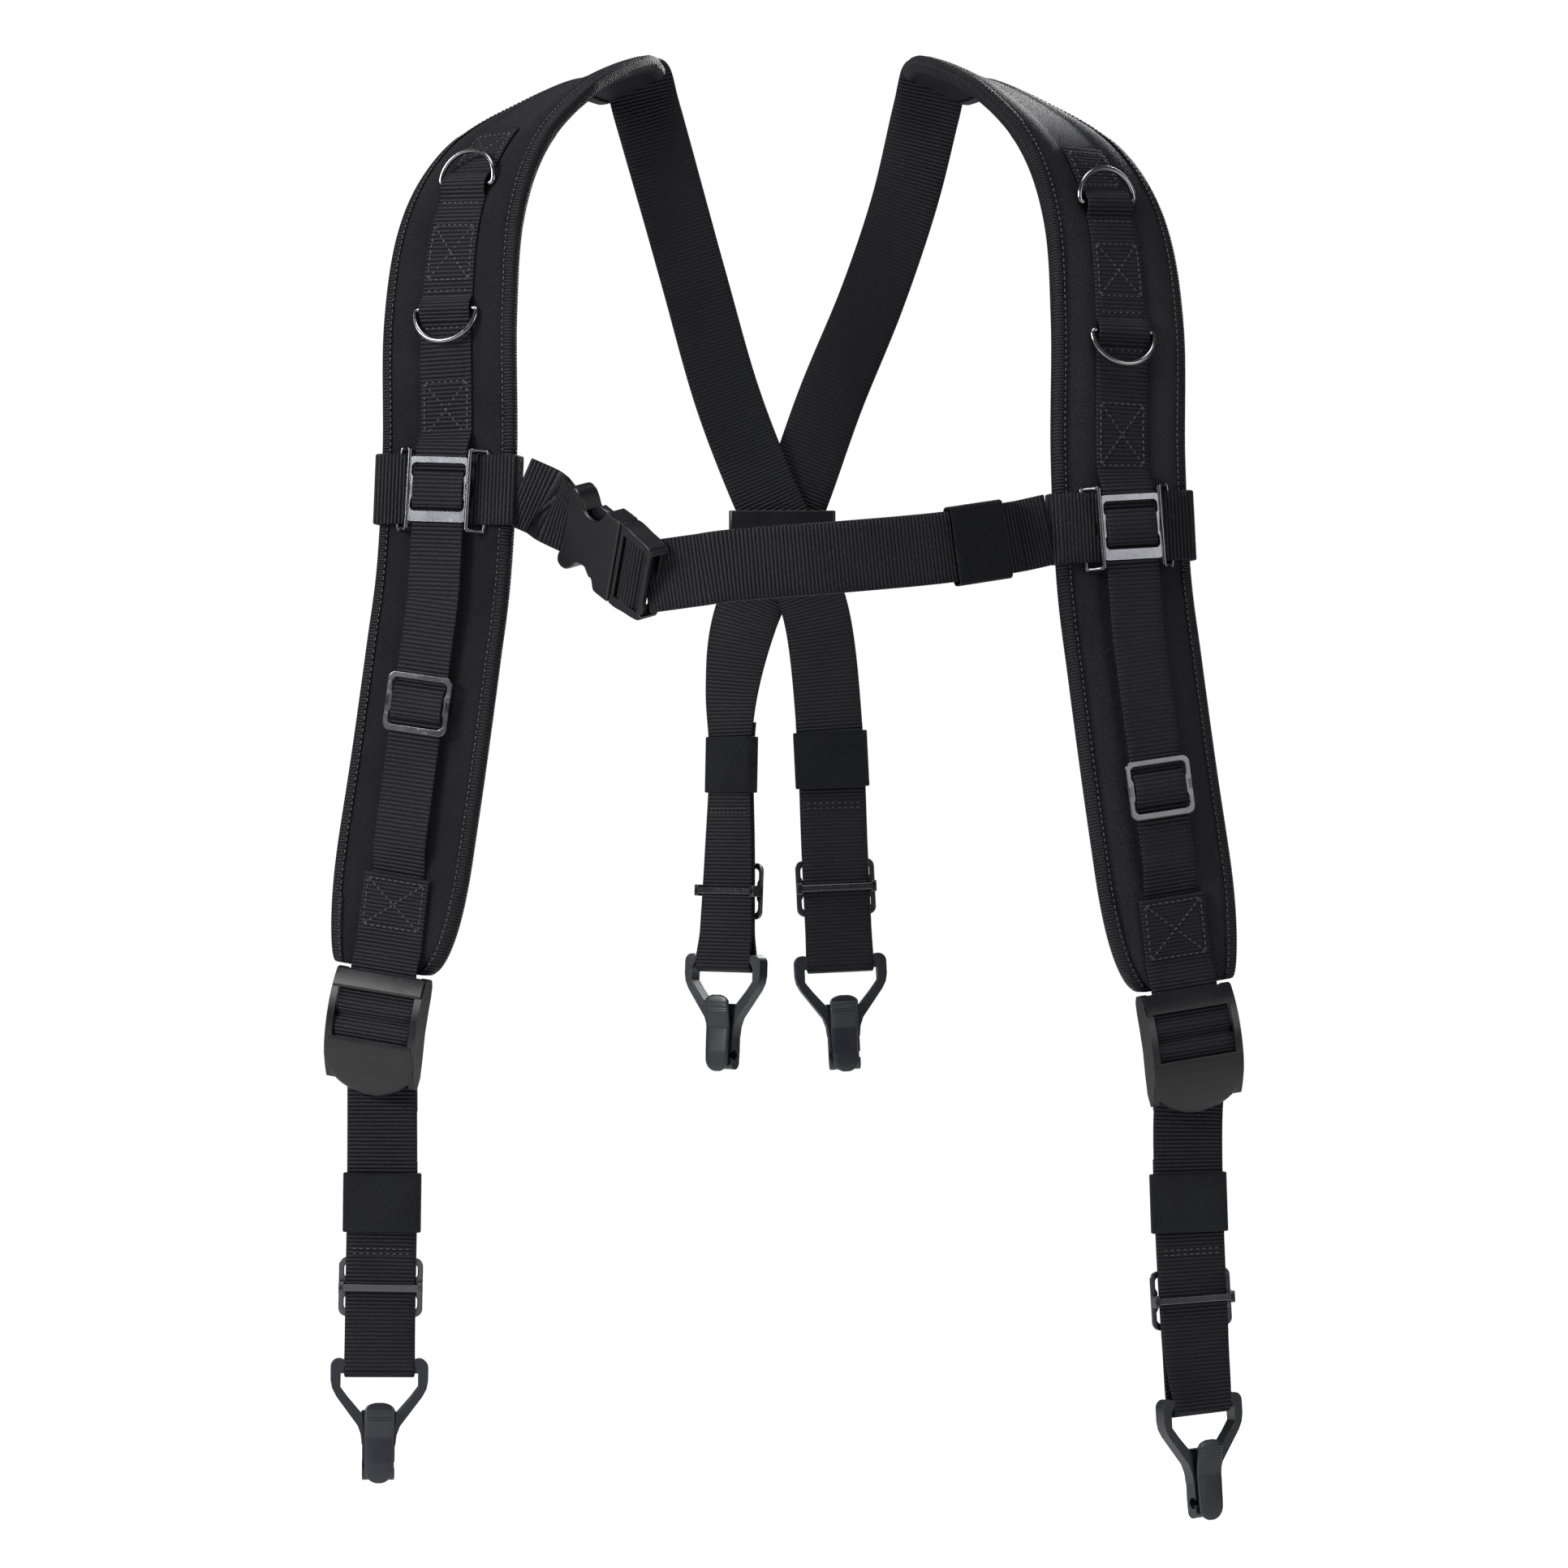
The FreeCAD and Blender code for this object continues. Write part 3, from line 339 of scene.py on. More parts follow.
def mesh_piece(name, points, faces, uv=None):
    """Object at the origin from points in millimetres, faces as index lists, and one (u, v) per corner."""
    mesh = bpy.data.meshes.new(name)
    mesh.from_pydata((np.asarray(points, float) * MM).tolist(), [], [list(f) for f in faces])
    if uv is not None:
        layer = mesh.uv_layers.new(name="cloth")
        layer.data.foreach_set("uv", np.asarray(uv, np.float32).ravel())
    mesh.polygons.foreach_set("use_smooth", [True] * len(mesh.polygons))
    mesh.update()
    made = bpy.data.objects.new(name, mesh)
    bpy.context.scene.collection.objects.link(made)
    return made


def tube(places, sections):
    """Closed tube: at each place the section's points are laid across and outward, and both ends are capped.

    Returns points, faces and corner UVs in metres. u runs across from the strap's middle and v along it.
    """
    centre, across, outward, _ = places
    sections = np.asarray(sections, float)
    if sections.ndim == 2:
        sections = np.broadcast_to(sections, (len(centre),) + sections.shape)
    rows, around = sections.shape[:2]
    points = (centre[:, None] + across[:, None] * sections[:, :, :1] + outward[:, None] * sections[:, :, 1:])
    length = np.concatenate([[0], np.cumsum(np.linalg.norm(np.diff(centre, axis=0), axis=1))])
    faces = skin_faces(np.arange(rows * around).reshape(rows, around))
    if facing_in(points):
        faces = [f[::-1] for f in faces]
    length = np.broadcast_to(length[:, None], (rows, around))
    uv = np.stack([sections[:, :, 0], length], -1).reshape(-1, 2) * MM
    return points.reshape(-1, 3), faces, uv[np.concatenate(faces)]


def skin_faces(grid):
    """Quads between the neighbouring rows of a grid of point numbers, each row a ring, and both end caps."""
    turn = np.roll(grid, -1, axis=1)
    quads = np.stack([grid[:-1], turn[:-1], turn[1:], grid[1:]], -1).reshape(-1, 4)
    return [list(q) for q in quads] + [list(grid[0][::-1]), list(grid[-1])]


def facing_in(points):
    """Whether a tube's first quad looks into it."""
    a, b, d = points[0, 0], points[0, 1], points[1, 0]
    normal = np.cross(b - a, d - a)
    return float(np.dot(normal, a - points[0].mean(0))) < 0


def gather(parts):
    """Several (points, faces, uv) joined into one."""
    points, faces, uvs, base = [], [], [], 0
    for p, f, uv in parts:
        points.append(p)
        faces += [[i + base for i in face] for face in f]
        uvs.append(uv)
        base += len(p)
    return np.concatenate(points), faces, np.concatenate(uvs)


def finish_piece(piece, body, material, slot, *nodes):
    """Gives a piece its material and lets it ride on its body in place of CAD nodes. The slot is not used."""
    piece.data.materials.append(material)
    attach(piece, body)
    if nodes:
        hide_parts(*nodes)
    return piece


def bending_piece(piece, replaced):
    """Webbing in place of one CAD node, with its transform baked into its points."""
    piece.data.materials.append(WEBBING)
    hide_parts(replaced)
    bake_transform(piece)


def new_group(name, inputs, outputs):
    """Empty shader node group with named float inputs and outputs, and its input and output nodes."""
    tree = bpy.data.node_groups.new(name, "ShaderNodeTree")
    for label, kind, value in inputs:
        socket = tree.interface.new_socket(label, in_out="INPUT", socket_type=kind)
        if value is not None:
            socket.default_value = value
    for label in outputs:
        tree.interface.new_socket(label, in_out="OUTPUT", socket_type="NodeSocketFloat")
    return tree, tree.nodes.new("NodeGroupInput"), tree.nodes.new("NodeGroupOutput")


def rib_weave_group():
    """Cross ribs of webbing: a rounded rib each pitch of v, broken into yarns along u offset by half."""
    inputs = [("UV", "NodeSocketVector", None), ("Rib", "NodeSocketFloat", 0.0021),
              ("Yarn", "NodeSocketFloat", 0.0012)]
    tree, into, out = new_group("rib_weave", inputs, ["Height", "Shade"])
    split = tree.nodes.new("ShaderNodeSeparateXYZ")
    tree.links.new(into.outputs["UV"], split.inputs[0])
    wobble = node(tree, "ShaderNodeTexNoise", Scale=420.0, Detail=1.0)
    tree.links.new(into.outputs["UV"], wobble.inputs["Vector"])
    drift = calc(tree, "MULTIPLY", calc(tree, "SUBTRACT", wobble.outputs[0], 0.5), 0.2)
    row = calc(tree, "ADD", calc(tree, "DIVIDE", split.outputs[1], into.outputs["Rib"]), drift)
    rib = calc(tree, "ABSOLUTE", calc(tree, "SINE", calc(tree, "MULTIPLY", row, math.pi)))
    half_step = calc(tree, "MULTIPLY", calc(tree, "MODULO", calc(tree, "FLOOR", row), 2.0), 0.5)
    column = calc(tree, "ADD", calc(tree, "DIVIDE", split.outputs[0], into.outputs["Yarn"]), half_step)
    yarn = calc(tree, "ABSOLUTE", calc(tree, "SINE", calc(tree, "MULTIPLY", column, math.pi)))
    rib = calc(tree, "POWER", rib, 0.7)
    height = calc(tree, "MULTIPLY", rib, calc(tree, "MULTIPLY_ADD", yarn, 0.22, 0.78))
    fibres = calc(tree, "MULTIPLY_ADD", wobble.outputs[0], 0.8, 0.6)
    tree.links.new(height, out.inputs["Height"])
    # Shade is painted shade and highlight: dark in the grooves between ribs and yarns, light on their tops,
    # times a random fibre tone.
    tree.links.new(calc(tree, "MULTIPLY", calc(tree, "POWER", height, 1.6), fibres), out.inputs["Shade"])
    return tree


def twill_weave_group():
    """Diagonal lines of a twill: a rounded line each pitch of u + v, nicked by the crossing yarns."""
    inputs = [("UV", "NodeSocketVector", None), ("Line", "NodeSocketFloat", 0.0011),
              ("Lean", "NodeSocketFloat", 1.0)]
    tree, into, out = new_group("twill_weave", inputs, ["Height", "Shade"])
    split = tree.nodes.new("ShaderNodeSeparateXYZ")
    tree.links.new(into.outputs["UV"], split.inputs[0])
    wobble = node(tree, "ShaderNodeTexNoise", Scale=900.0, Detail=1.0)
    tree.links.new(into.outputs["UV"], wobble.inputs["Vector"])
    slope = calc(tree, "MULTIPLY_ADD", split.outputs[0], into.outputs["Lean"], split.outputs[1])
    line = calc(tree, "ADD", calc(tree, "DIVIDE", slope, into.outputs["Line"]),
                calc(tree, "MULTIPLY", wobble.outputs[0], 0.5))
    rise = calc(tree, "ABSOLUTE", calc(tree, "SINE", calc(tree, "MULTIPLY", line, math.pi)))
    cross = calc(tree, "SUBTRACT", split.outputs[1], split.outputs[0])
    cross = calc(tree, "DIVIDE", cross, into.outputs["Line"])
    nick = calc(tree, "ABSOLUTE", calc(tree, "SINE", calc(tree, "MULTIPLY", cross, math.pi)))
    height = calc(tree, "MULTIPLY", rise, calc(tree, "MULTIPLY_ADD", nick, 0.4, 0.6))
    fibres = calc(tree, "MULTIPLY_ADD", wobble.outputs[0], 0.9, 0.7)
    tree.links.new(height, out.inputs["Height"])
    # Shade is painted shade and highlight: dark between the twill lines and at the nicks, light on the tops
    # of the lines, times a random fibre tone.
    tree.links.new(calc(tree, "MULTIPLY", calc(tree, "POWER", height, 1.5), fibres), out.inputs["Shade"])
    return tree


RIB_WEAVE = rib_weave_group()
TWILL_WEAVE = twill_weave_group()


def cloth_material(name, weave, sizes, dark, light, depth, specular=0.14, roughness=0.45):
    """Woven nylon: the weave's painted shade picks the colour, dark in its grooves and light on its tops, its
    height is a bump, and cloudy dust lifts both.
    """
    material = bpy.data.materials.new(name)
    material.use_nodes = True
    tree = material.node_tree
    shader = tree.nodes["Principled BSDF"]
    uv = tree.nodes.new("ShaderNodeUVMap")
    uv.uv_map = "cloth"
    woven = tree.nodes.new("ShaderNodeGroup")
    woven.node_tree = weave
    tree.links.new(uv.outputs[0], woven.inputs["UV"])
    for label, value in sizes.items():
        woven.inputs[label].default_value = value
    place = tree.nodes.new("ShaderNodeTexCoord")
    cloud = node(tree, "ShaderNodeTexNoise", Scale=38.0, Detail=3.0)
    tree.links.new(place.outputs["Object"], cloud.inputs["Vector"])
    dust = calc(tree, "MULTIPLY_ADD", cloud.outputs[0], 0.9, 0.5)
    shade = calc(tree, "MULTIPLY", woven.outputs["Shade"], dust)
    # Painted shade and highlight: the colour runs from dark in the weave's grooves to light on its raised
    # tops.
    colour = blend_colour(tree, shade, (*dark, 1.0), (*light, 1.0))
    tree.links.new(colour, shader.inputs["Base Color"])
    rough = calc(tree, "MULTIPLY_ADD", cloud.outputs[0], 0.18, roughness - 0.09)
    tree.links.new(rough, shader.inputs["Roughness"])
    bump = node(tree, "ShaderNodeBump", Strength=0.9, Distance=depth, Height=woven.outputs["Height"])
    tree.links.new(bump.outputs[0], shader.inputs["Normal"])
    shader.inputs["Sheen Weight"].default_value = 0.01
    shader.inputs["Specular IOR Level"].default_value = specular
    return material


# Each cloth's dark colour is its painted shade in the weave's grooves, its light colour the painted highlight
# on the weave's tops.
WEBBING = cloth_material("ribbed_webbing", RIB_WEAVE, {"Rib": 0.0021, "Yarn": 0.0013},
                         (0.0005, 0.0005, 0.0007), (0.015, 0.0148, 0.0185), 0.0009)
PAD_WEBBING = cloth_material("pad_webbing", RIB_WEAVE, {"Rib": 0.0023, "Yarn": 0.0014},
                             (0.0005, 0.0005, 0.0007), (0.016, 0.0157, 0.0195), 0.0010)
TWILL = cloth_material("pad_twill", TWILL_WEAVE, {"Line": 0.0012, "Lean": 1.0},
                       (0.0010, 0.0010, 0.0015), (0.024, 0.0236, 0.030), 0.0009, 0.12)
ELASTIC = cloth_material("keeper_elastic", TWILL_WEAVE, {"Line": 0.0014, "Lean": -1.0},
                         (0.0008, 0.0008, 0.0013), (0.016, 0.0165, 0.023), 0.0008, 0.10)
TAPE = cloth_material("binding_tape", RIB_WEAVE, {"Rib": 0.0017, "Yarn": 0.0030},
                      (0.0005, 0.0005, 0.0007), (0.015, 0.0148, 0.0185), 0.0010)

# ======================================================================================================
# Shoulder pads. A foam core in twill, a little fuller between the sewn webbing and the edges, pinched thin
# under a ribbed tape that is folded over both long edges. The lining behind is flat and carries on up.
FOAM = 5.8
FACE = FOAM / 2 + SEWN + 1.2
EDGE_FACE = FACE + SEWN + 0.9
SEWN_WEB = FACE + SEWN + PAD_WEB_THICK / 2
BINDING_REACH = 7.0
EDGE_R = 3.6
PUFF = 1.1


def pad_halves(side, t):
    """How far a pad reaches across its route at many t, to -u and to +u."""
    last = len(PAD_ROUTE) - 1
    full = np.interp(t, range(last + 1), PAD_HALF)
    cut = 1 - np.sqrt(1 - np.clip((t - PAD_END_START) / (last - PAD_END_START), 0, 1) ** 2)
    outer = full - (PAD_HALF[-1] - PAD_END_HALF["outer"]) * cut
    inner = full - (PAD_HALF[-1] - PAD_END_HALF["inner"]) * cut
    return (inner, outer) if side == "right" else (outer, inner)


def face_height(from_middle, reach):
    """Height of the pad's face: level under the webbing, fuller beside it, falling to the rolled edge."""
    room = np.maximum(reach - BINDING_REACH - PAD_WEB / 2, 2.0)
    share = np.clip((from_middle - PAD_WEB / 2) / room, 0, 1)
    fall = np.clip((from_middle - (reach - BINDING_REACH - 2)) / (BINDING_REACH + 2 - EDGE_R), 0, 1)
    return FACE - 0.1 + PUFF * np.sin(np.pi * share) ** 0.8 - 0.7 * fall * fall * (3 - 2 * fall)


def pad_half_profile(reach, grow, back):
    """One half of a pad's section for one reach: from its middle, round the edge, back to the middle."""
    flat = np.concatenate([np.linspace(0, PAD_WEB / 2, 4), np.linspace(PAD_WEB / 2, reach - EDGE_R, 12)[1:]])
    top = face_height(flat, reach) + grow
    low = -(back - 0.6 * np.clip((flat - (reach - 9)) / 5, 0, 1)) - grow
    turn = np.linspace(np.pi / 2, -np.pi / 2, 9)[1:-1]
    high_edge, low_edge = top[-1], low[-1]
    middle, half = (high_edge + low_edge) / 2, (high_edge - low_edge) / 2
    edge_x = reach - EDGE_R + (EDGE_R + grow) * np.abs(np.cos(turn)) ** 0.75
    edge_n = middle + half * np.sin(turn)
    x = np.concatenate([flat, edge_x, flat[::-1]])
    n = np.concatenate([top, edge_n, low[::-1]])
    return np.stack([x, n], 1)


def pad_section(side, t, grow=0.0):
    """Whole section of a pad at one t."""
    left, right = (float(h) for h in pad_halves(side, t))
    a, b = pad_half_profile(right, grow, FACE), pad_half_profile(left, grow, FACE)
    return np.concatenate([a, b[::-1][1:-1] * np.array([-1, 1])])


for side in SIDES:
    route = pad_route(side)
    rounded = (len(route) - 1 - PAD_END_START) * np.sin(np.linspace(0, np.pi / 2, 24))
    t = np.concatenate([np.linspace(0, PAD_END_START, 168)[:-1], PAD_END_START + rounded])
    places = spots(route, t)
    pad = mesh_piece("pad_" + side, *tube(places, np.stack([pad_section(side, x) for x in t])))
    finish_piece(pad, "harness", TWILL, "pad_cover", "pad_foam_" + side, "pad_cover_" + side)

    tapes = []
    for which in (0, 1):
        sections = []
        for x in t:
            reach = float(pad_halves(side, x)[which])
            outer = pad_half_profile(reach, 0.95, FACE)
            inner = pad_half_profile(reach, 0.12, FACE)
            keep = outer[:, 0] >= reach - BINDING_REACH
            outer, inner = outer[keep], inner[keep]
            outer[[0, -1], 1] *= 0.97
            section = np.concatenate([outer, inner[::-1]])
            sections.append(section * np.array([1 if which else -1, 1]))
        fewest = min(len(s) for s in sections)
        sections = [s if len(s) == fewest else s[np.linspace(0, len(s) - 1, fewest).round().astype(int)]
                    for s in sections]
        tapes.append(tube(places, np.stack(sections)))
    tape = mesh_piece("pad_tape_" + side, *gather(tapes))
    finish_piece(tape, "harness", TAPE, "binding", "pad_binding_" + side)


# ======================================================================================================
# Straps. Each is one closed tube that runs along its route, is raised over what it passes, and turns round
# the bars it hangs from. Doubled straps keep both layers and both folds.
LOCK_BAR_R = 2.3
HOOK_BAR_R = 2.4
LOCK_DROP = 7.0
LOCK_WEB_BAR = (4.0, 19.0)
RING_WIRE = 1.5
TUNNEL_HALF = 7.0
BAR = 1.5
SINGLE = WEB_THICK / 2 + LAYERS / 2
BAND = EDGE_FACE + 2 * GAP + WEB_THICK / 2 + 0.4
BAND_HALF = 38.0 + SEWN + 0.9 + 3 * GAP
FREE_WEB = BAND + WEB_THICK / 2 + 2 * GAP + BAR + PAD_WEB_THICK / 2
CHEST_SLIDE_Z = {"left": -242.0, "right": -262.0}
PAD_SLIDE_Z = {"left": -357.0, "right": -402.0}
ANCHOR_TOP_Z = {"left": -449.0, "right": -460.0}
RING_Z = {"left": (-78.0, -145.0), "right": (-88.0, -157.0)}
SLIDE_Z = {"front": {"left": -672.0, "right": -678.0}, "rear": {"left": -459.0, "right": -461.0}}
KEEPER_Z = {"front": {"left": -626.0, "right": -626.0}, "rear": {"left": -386.0, "right": -389.0}}
KEEPER_HEIGHT = 32.0
KEEPER_THICK = 1.3
TIP_PAST_KEEPER = 8.0


def lifted(places, lift):
    """Places moved along their outward directions."""
    centre, across, outward, along = places
    return centre + outward * np.reshape(lift, (-1, 1)), across, outward, along


def turned_over(places):
    """Places whose outer face is the other one, with the strap's two edges kept where they were."""
    centre, across, outward, along = places
    return centre, across, -outward, -along


def in_turn(*runs):
    """Several runs of places as one."""
    return tuple(np.concatenate([run[k] for run in runs]) for k in range(4))


def backwards(places):
    """Places in the opposite order."""
    return tuple(part[::-1] for part in places)


def one(route, t, lift=0.0):
    """A single place on a route."""
    return lifted(spots(route, [t]), lift)


def round_bar(place, radius, start, stop, count=13):
    """Places round a bar: 0 degrees is in front of it, 90 below and 180 behind."""
    centre, across, outward, along = (part[0] for part in place)
    angle = np.radians(np.linspace(start, stop, count))[:, None]
    normal = outward * np.cos(angle) + along * np.sin(angle)
    ahead = (along * np.cos(angle) - outward * np.sin(angle)) * (1 if stop > start else -1)
    return centre + normal * radius, np.repeat(across[None], count, 0), normal, ahead


def smooth(x):
    """Eased step from 0 to 1."""
    x = np.clip(x, 0, 1)
    return x * x * (3 - 2 * x)


def hook_run(route, start_t, slide_z, top_z, sunk=0.0):
    """A doubled strap: down the front, round the hook's bar, and up behind to its folded tip.

    sunk is how far its first stretch lies below its route, where it is sewn onto a pad.
    """
    end = len(route) - 1
    t = np.linspace(start_t, end, max(20, int((end - start_t) * 26)))
    places = spots(route, t)
    z = places[0][:, 2]
    bottom = places[0][-1, 2]
    turn = HOOK_BAR_R + GAP + WEB_THICK / 2
    ease = smooth((slide_z - 22 - z) / (slide_z - 22 - bottom))
    down = lifted(places, SINGLE + (turn - SINGLE) * ease + sunk * smooth((1.3 - t) / 0.7))
    up_from = z <= top_z
    behind = tuple(part[up_from] for part in lifted(places, -SINGLE - (turn - SINGLE) * ease))
    return in_turn(down, round_bar(one(route, end), turn, 8, 172), backwards(turned_over(behind)))


def straight(start, end):
    """A route of two rows between two places."""
    return [tuple(np.concatenate([p[0][0], p[2][0]])) for p in (start, end)]


def free_web_runs(side):
    """The pad webbing's two straight runs: past the chest slide, and on down to the anchor webbing."""
    route = pad_route(side)
    top = one(route, at_height(route, CHEST_SLIDE_Z[side] + 22), FREE_WEB)
    knee = one(route, at_height(route, CHEST_SLIDE_Z[side] - 58), FREE_WEB)
    bottom = one(route, at_height(route, ANCHOR_TOP_Z[side] + 16), FREE_WEB - 1.0)
    return straight(top, knee), straight(knee, bottom)


def lock_place(side):
    """Top bar of a ladder-lock, just below the pad's lower end."""
    centre, across, outward, along = one(pad_route(side), len(PAD_ROUTE) - 1, EDGE_FACE + 2.0)
    return centre + along * LOCK_DROP, across, outward, along


def web_bar_place(side):
    """The ladder-lock's bar that the front strap is laced round."""
    centre, across, outward, along = lock_place(side)
    return centre + outward * LOCK_WEB_BAR[0] + along * LOCK_WEB_BAR[1], across, outward, along


def closed_band(place, half, low, high, height, thick, round_off):
    """Closed band of webbing round a strap or a pad, its ends butted behind, its width along the strap."""
    centre, across, outward, along = (part[0] for part in place)
    x1, y0, y1, r = half + thick / 2, low - thick / 2, high + thick / 2, round_off
    outline = []
    corners = ((x1 - r, y0 + r, -90), (x1 - r, y1 - r, 0), (r - x1, y1 - r, 90), (r - x1, y0 + r, 180))
    for cx, cy, begin in corners:
        for a in np.radians(np.linspace(begin, begin + 90, 7)):
            outline.append((cx + r * np.cos(a), cy + r * np.sin(a), np.cos(a), np.sin(a)))
    first = (0.3, y0, 0.0, -1.0)
    last = (-0.3, y0, 0.0, -1.0)
    rows = np.array([first] + outline + [last])
    dense, count = [], 6
    for a, b in zip(rows[:-1], rows[1:]):
        dense += [a + (b - a) * k / count for k in range(count)]
    rows = np.array(dense + [rows[-1]])
    points = centre + across * rows[:, :1] + outward * rows[:, 1:2]
    normal = unit(across * rows[:, 2:3] + outward * rows[:, 3:4])
    up = np.repeat(along[None], len(rows), 0)
    return (points, up, normal, np.cross(normal, up)), web_section(height, thick)


for side in SIDES:
    sign = SIDES[side]
    route = pad_route(side)
    # 30 mm webbing: sewn down, over the two ring bars, free through the slides, and under the anchor patch
    start = at_height(route, RING_Z[side][0] + 30)
    sewn_end = at_height(route, CHEST_SLIDE_Z[side] + 31)
    t = np.linspace(start, sewn_end, 150)
    places = spots(route, t)
    rise = np.zeros(len(t))
    for ring_z in RING_Z[side]:
        rise = np.maximum(rise, np.clip(1 - ((places[0][:, 2] - ring_z) / TUNNEL_HALF) ** 2, 0, 1))
    sewn = lifted(places, SEWN_WEB + (2 * RING_WIRE + 4 * GAP) * rise)
    upper, lower = free_web_runs(side)
    landing = one(route, at_height(route, ANCHOR_TOP_Z[side] + 3), SEWN_WEB)
    tucked = one(route, at_height(route, ANCHOR_TOP_Z[side] - 10), SEWN_WEB)
    free = in_turn(spots(upper, np.linspace(0, 0.97, 10)), spots(lower, np.linspace(0.02, 1, 24)))
    path = in_turn(sewn, free, landing, tucked)
    web = mesh_piece("pad_webbing_" + side, *tube(path, web_section(PAD_WEB, PAD_WEB_THICK)))
    finish_piece(web, "harness", PAD_WEBBING, "webbing", "pad_web_" + side)

    # 38 mm anchor patch over the pad's lower end, down round the ladder-lock's top bar and up behind it
    low = FACE + 2 * SEWN + PAD_WEB_THICK + WEB_THICK / 2
    t = np.linspace(at_height(route, ANCHOR_TOP_Z[side]), len(route) - 1, 40)
    turn = LOCK_BAR_R + GAP + WEB_THICK / 2
    ease = smooth((t - (len(route) - 1.3)) / 0.3)
    patch = lifted(spots(route, t), low + (EDGE_FACE + 2 + turn - low) * ease)
    around = round_bar(lock_place(side), turn, 0, 200, 17)
    anchor = mesh_piece("anchor_" + side, *tube(in_turn(patch, around), web_section(WEB, WEB_THICK)))
    bending_piece(anchor, "anchor_web_" + side)

    # 38 mm front strap: a short tail up behind, over the ladder-lock's bar, down to the hook and back up
    front = FRONT_ROUTE[side]
    tail_end = at_height(front, -577)
    tail = turned_over(lifted(spots(front, np.linspace(tail_end, 0.55, 10)), -SINGLE))
    over = round_bar(web_bar_place(side), LOCK_BAR_R + GAP + WEB_THICK / 2, -172, 0)
    tip = KEEPER_Z["front"][side] + KEEPER_HEIGHT / 2 + TIP_PAST_KEEPER
    path = in_turn(tail, over, hook_run(front, 0.5, SLIDE_Z["front"][side], tip))
    strap = mesh_piece("front_strap_cloth_" + side, *tube(path, web_section(WEB, WEB_THICK)))
    finish_piece(strap, "front_strap_" + side, WEBBING, "webbing", "front_strap_" + side,
                 "front_hook_web_" + side)

    # 38 mm rear strap from under the pad, over the shoulder, across the back and down to its hook
    rear = REAR_ROUTE[side]
    tip = KEEPER_Z["rear"][side] + KEEPER_HEIGHT / 2 + TIP_PAST_KEEPER
    run = hook_run(rear, 0.45, SLIDE_Z["rear"][side], tip, 3.2)
    strap = mesh_piece("rear_strap_" + side, *tube(run, web_section(WEB, WEB_THICK)))
    finish_piece(strap, "harness", WEBBING, "webbing", "rear_web_" + side)

    # band of chest webbing round the pad
    around_pad = one(route, at_height(route, CHEST_SLIDE_Z[side]))
    behind, before = -EDGE_FACE - 2 * GAP, BAND - WEB_THICK / 2
    loop, section = closed_band(around_pad, BAND_HALF, behind, before, WEB, WEB_THICK, 4.0)
    band = mesh_piece("chest_band_" + side + "_cloth", *tube(loop, section))
    finish_piece(band, "chest_slide_" + side, WEBBING, "webbing", "chest_band_" + side)

    # elastic keepers on the two lower straps
    other = "right" if side == "left" else "left"
    for kind, strap_route, name in (("front", front, "front_" + side), ("rear", rear, "rear_" + other)):
        middle = one(strap_route, at_height(strap_route, KEEPER_Z[kind][side]))
        around, section = closed_band(middle, WEB / 2 + 0.8, -2.8, 2.8, KEEPER_HEIGHT, KEEPER_THICK, 2.2)
        keeper = mesh_piece("keeper_" + name + "_elastic", *tube(around, section))
        finish_piece(keeper, "keeper_" + name, ELASTIC, "elastic", "keeper_" + name)


# ======================================================================================================
# Chest strap. One short lead from the left pad's band to the buckle, and a long doubled one from the buckle
# to the right pad, whose tip is held down by an elastic keeper.
SHELL_LENGTH = 44.0
MALE_LENGTH = 27.0
BUCKLE_T = 3.3


def band_edge(side):
    """Where the chest strap is sewn to the band round a pad, seen along the strap."""
    route = pad_route(side)
    centre, across, outward, _ = one(route, at_height(route, CHEST_SLIDE_Z[side]))
    reach = BAND_HALF + WEB_THICK + SEWN
    centre = centre - across * (SIDES[side] * reach) + outward * (BAND - 2 * WEB_THICK)
    return centre, np.cross(outward, across), outward, across


def buckle_end(distance):
    """Spot on the buckle's axis at a distance from the joint between its halves."""
    centre, across, outward, along = one(CHEST_ROUTE, BUCKLE_T)
    return centre + along * distance, across, outward, along


def eased(places, lift):
    """Places smoothed into each other: a spline through their centres and outward directions."""
    rows = np.concatenate([places[0], places[2]], 1)
    dense = np.linspace(0, len(rows) - 1, 6 * (len(rows) - 1) + 1)
    return lifted(spots(rows, dense), lift)


lead = in_turn(band_edge("left"), spots(CHEST_ROUTE, [0.8, 1.2, 1.6]), buckle_end(8.0 - SHELL_LENGTH + 6))
lead_piece = mesh_piece("chest_lead", *tube(eased(lead, 0.0), web_section(WEB, WEB_THICK)))
bending_piece(lead_piece, "chest_strap_left")

start = buckle_end(8.0 + MALE_LENGTH - 8)
main = in_turn(start, spots(CHEST_ROUTE, np.linspace(5.0, 9.6, 14)), band_edge("right"))
tail = in_turn(start, spots(CHEST_ROUTE, np.linspace(5.0, 9.3, 14)))
section = web_section(WEB, WEB_THICK)
layers = [tube(eased(main, -SINGLE), section), tube(eased(tail, SINGLE), section)]
chest = mesh_piece("chest_strap", *gather(layers))
bending_piece(chest, "chest_strap_right")

middle = one(CHEST_ROUTE, 8.55)
around, section = closed_band(middle, WEB / 2 + 1.0, -3.2, 3.2, KEEPER_HEIGHT, KEEPER_THICK, 2.2)
keeper = mesh_piece("keeper_chest_elastic", *tube(around, section))
finish_piece(keeper, "keeper_chest", ELASTIC, "elastic", "keeper_chest")
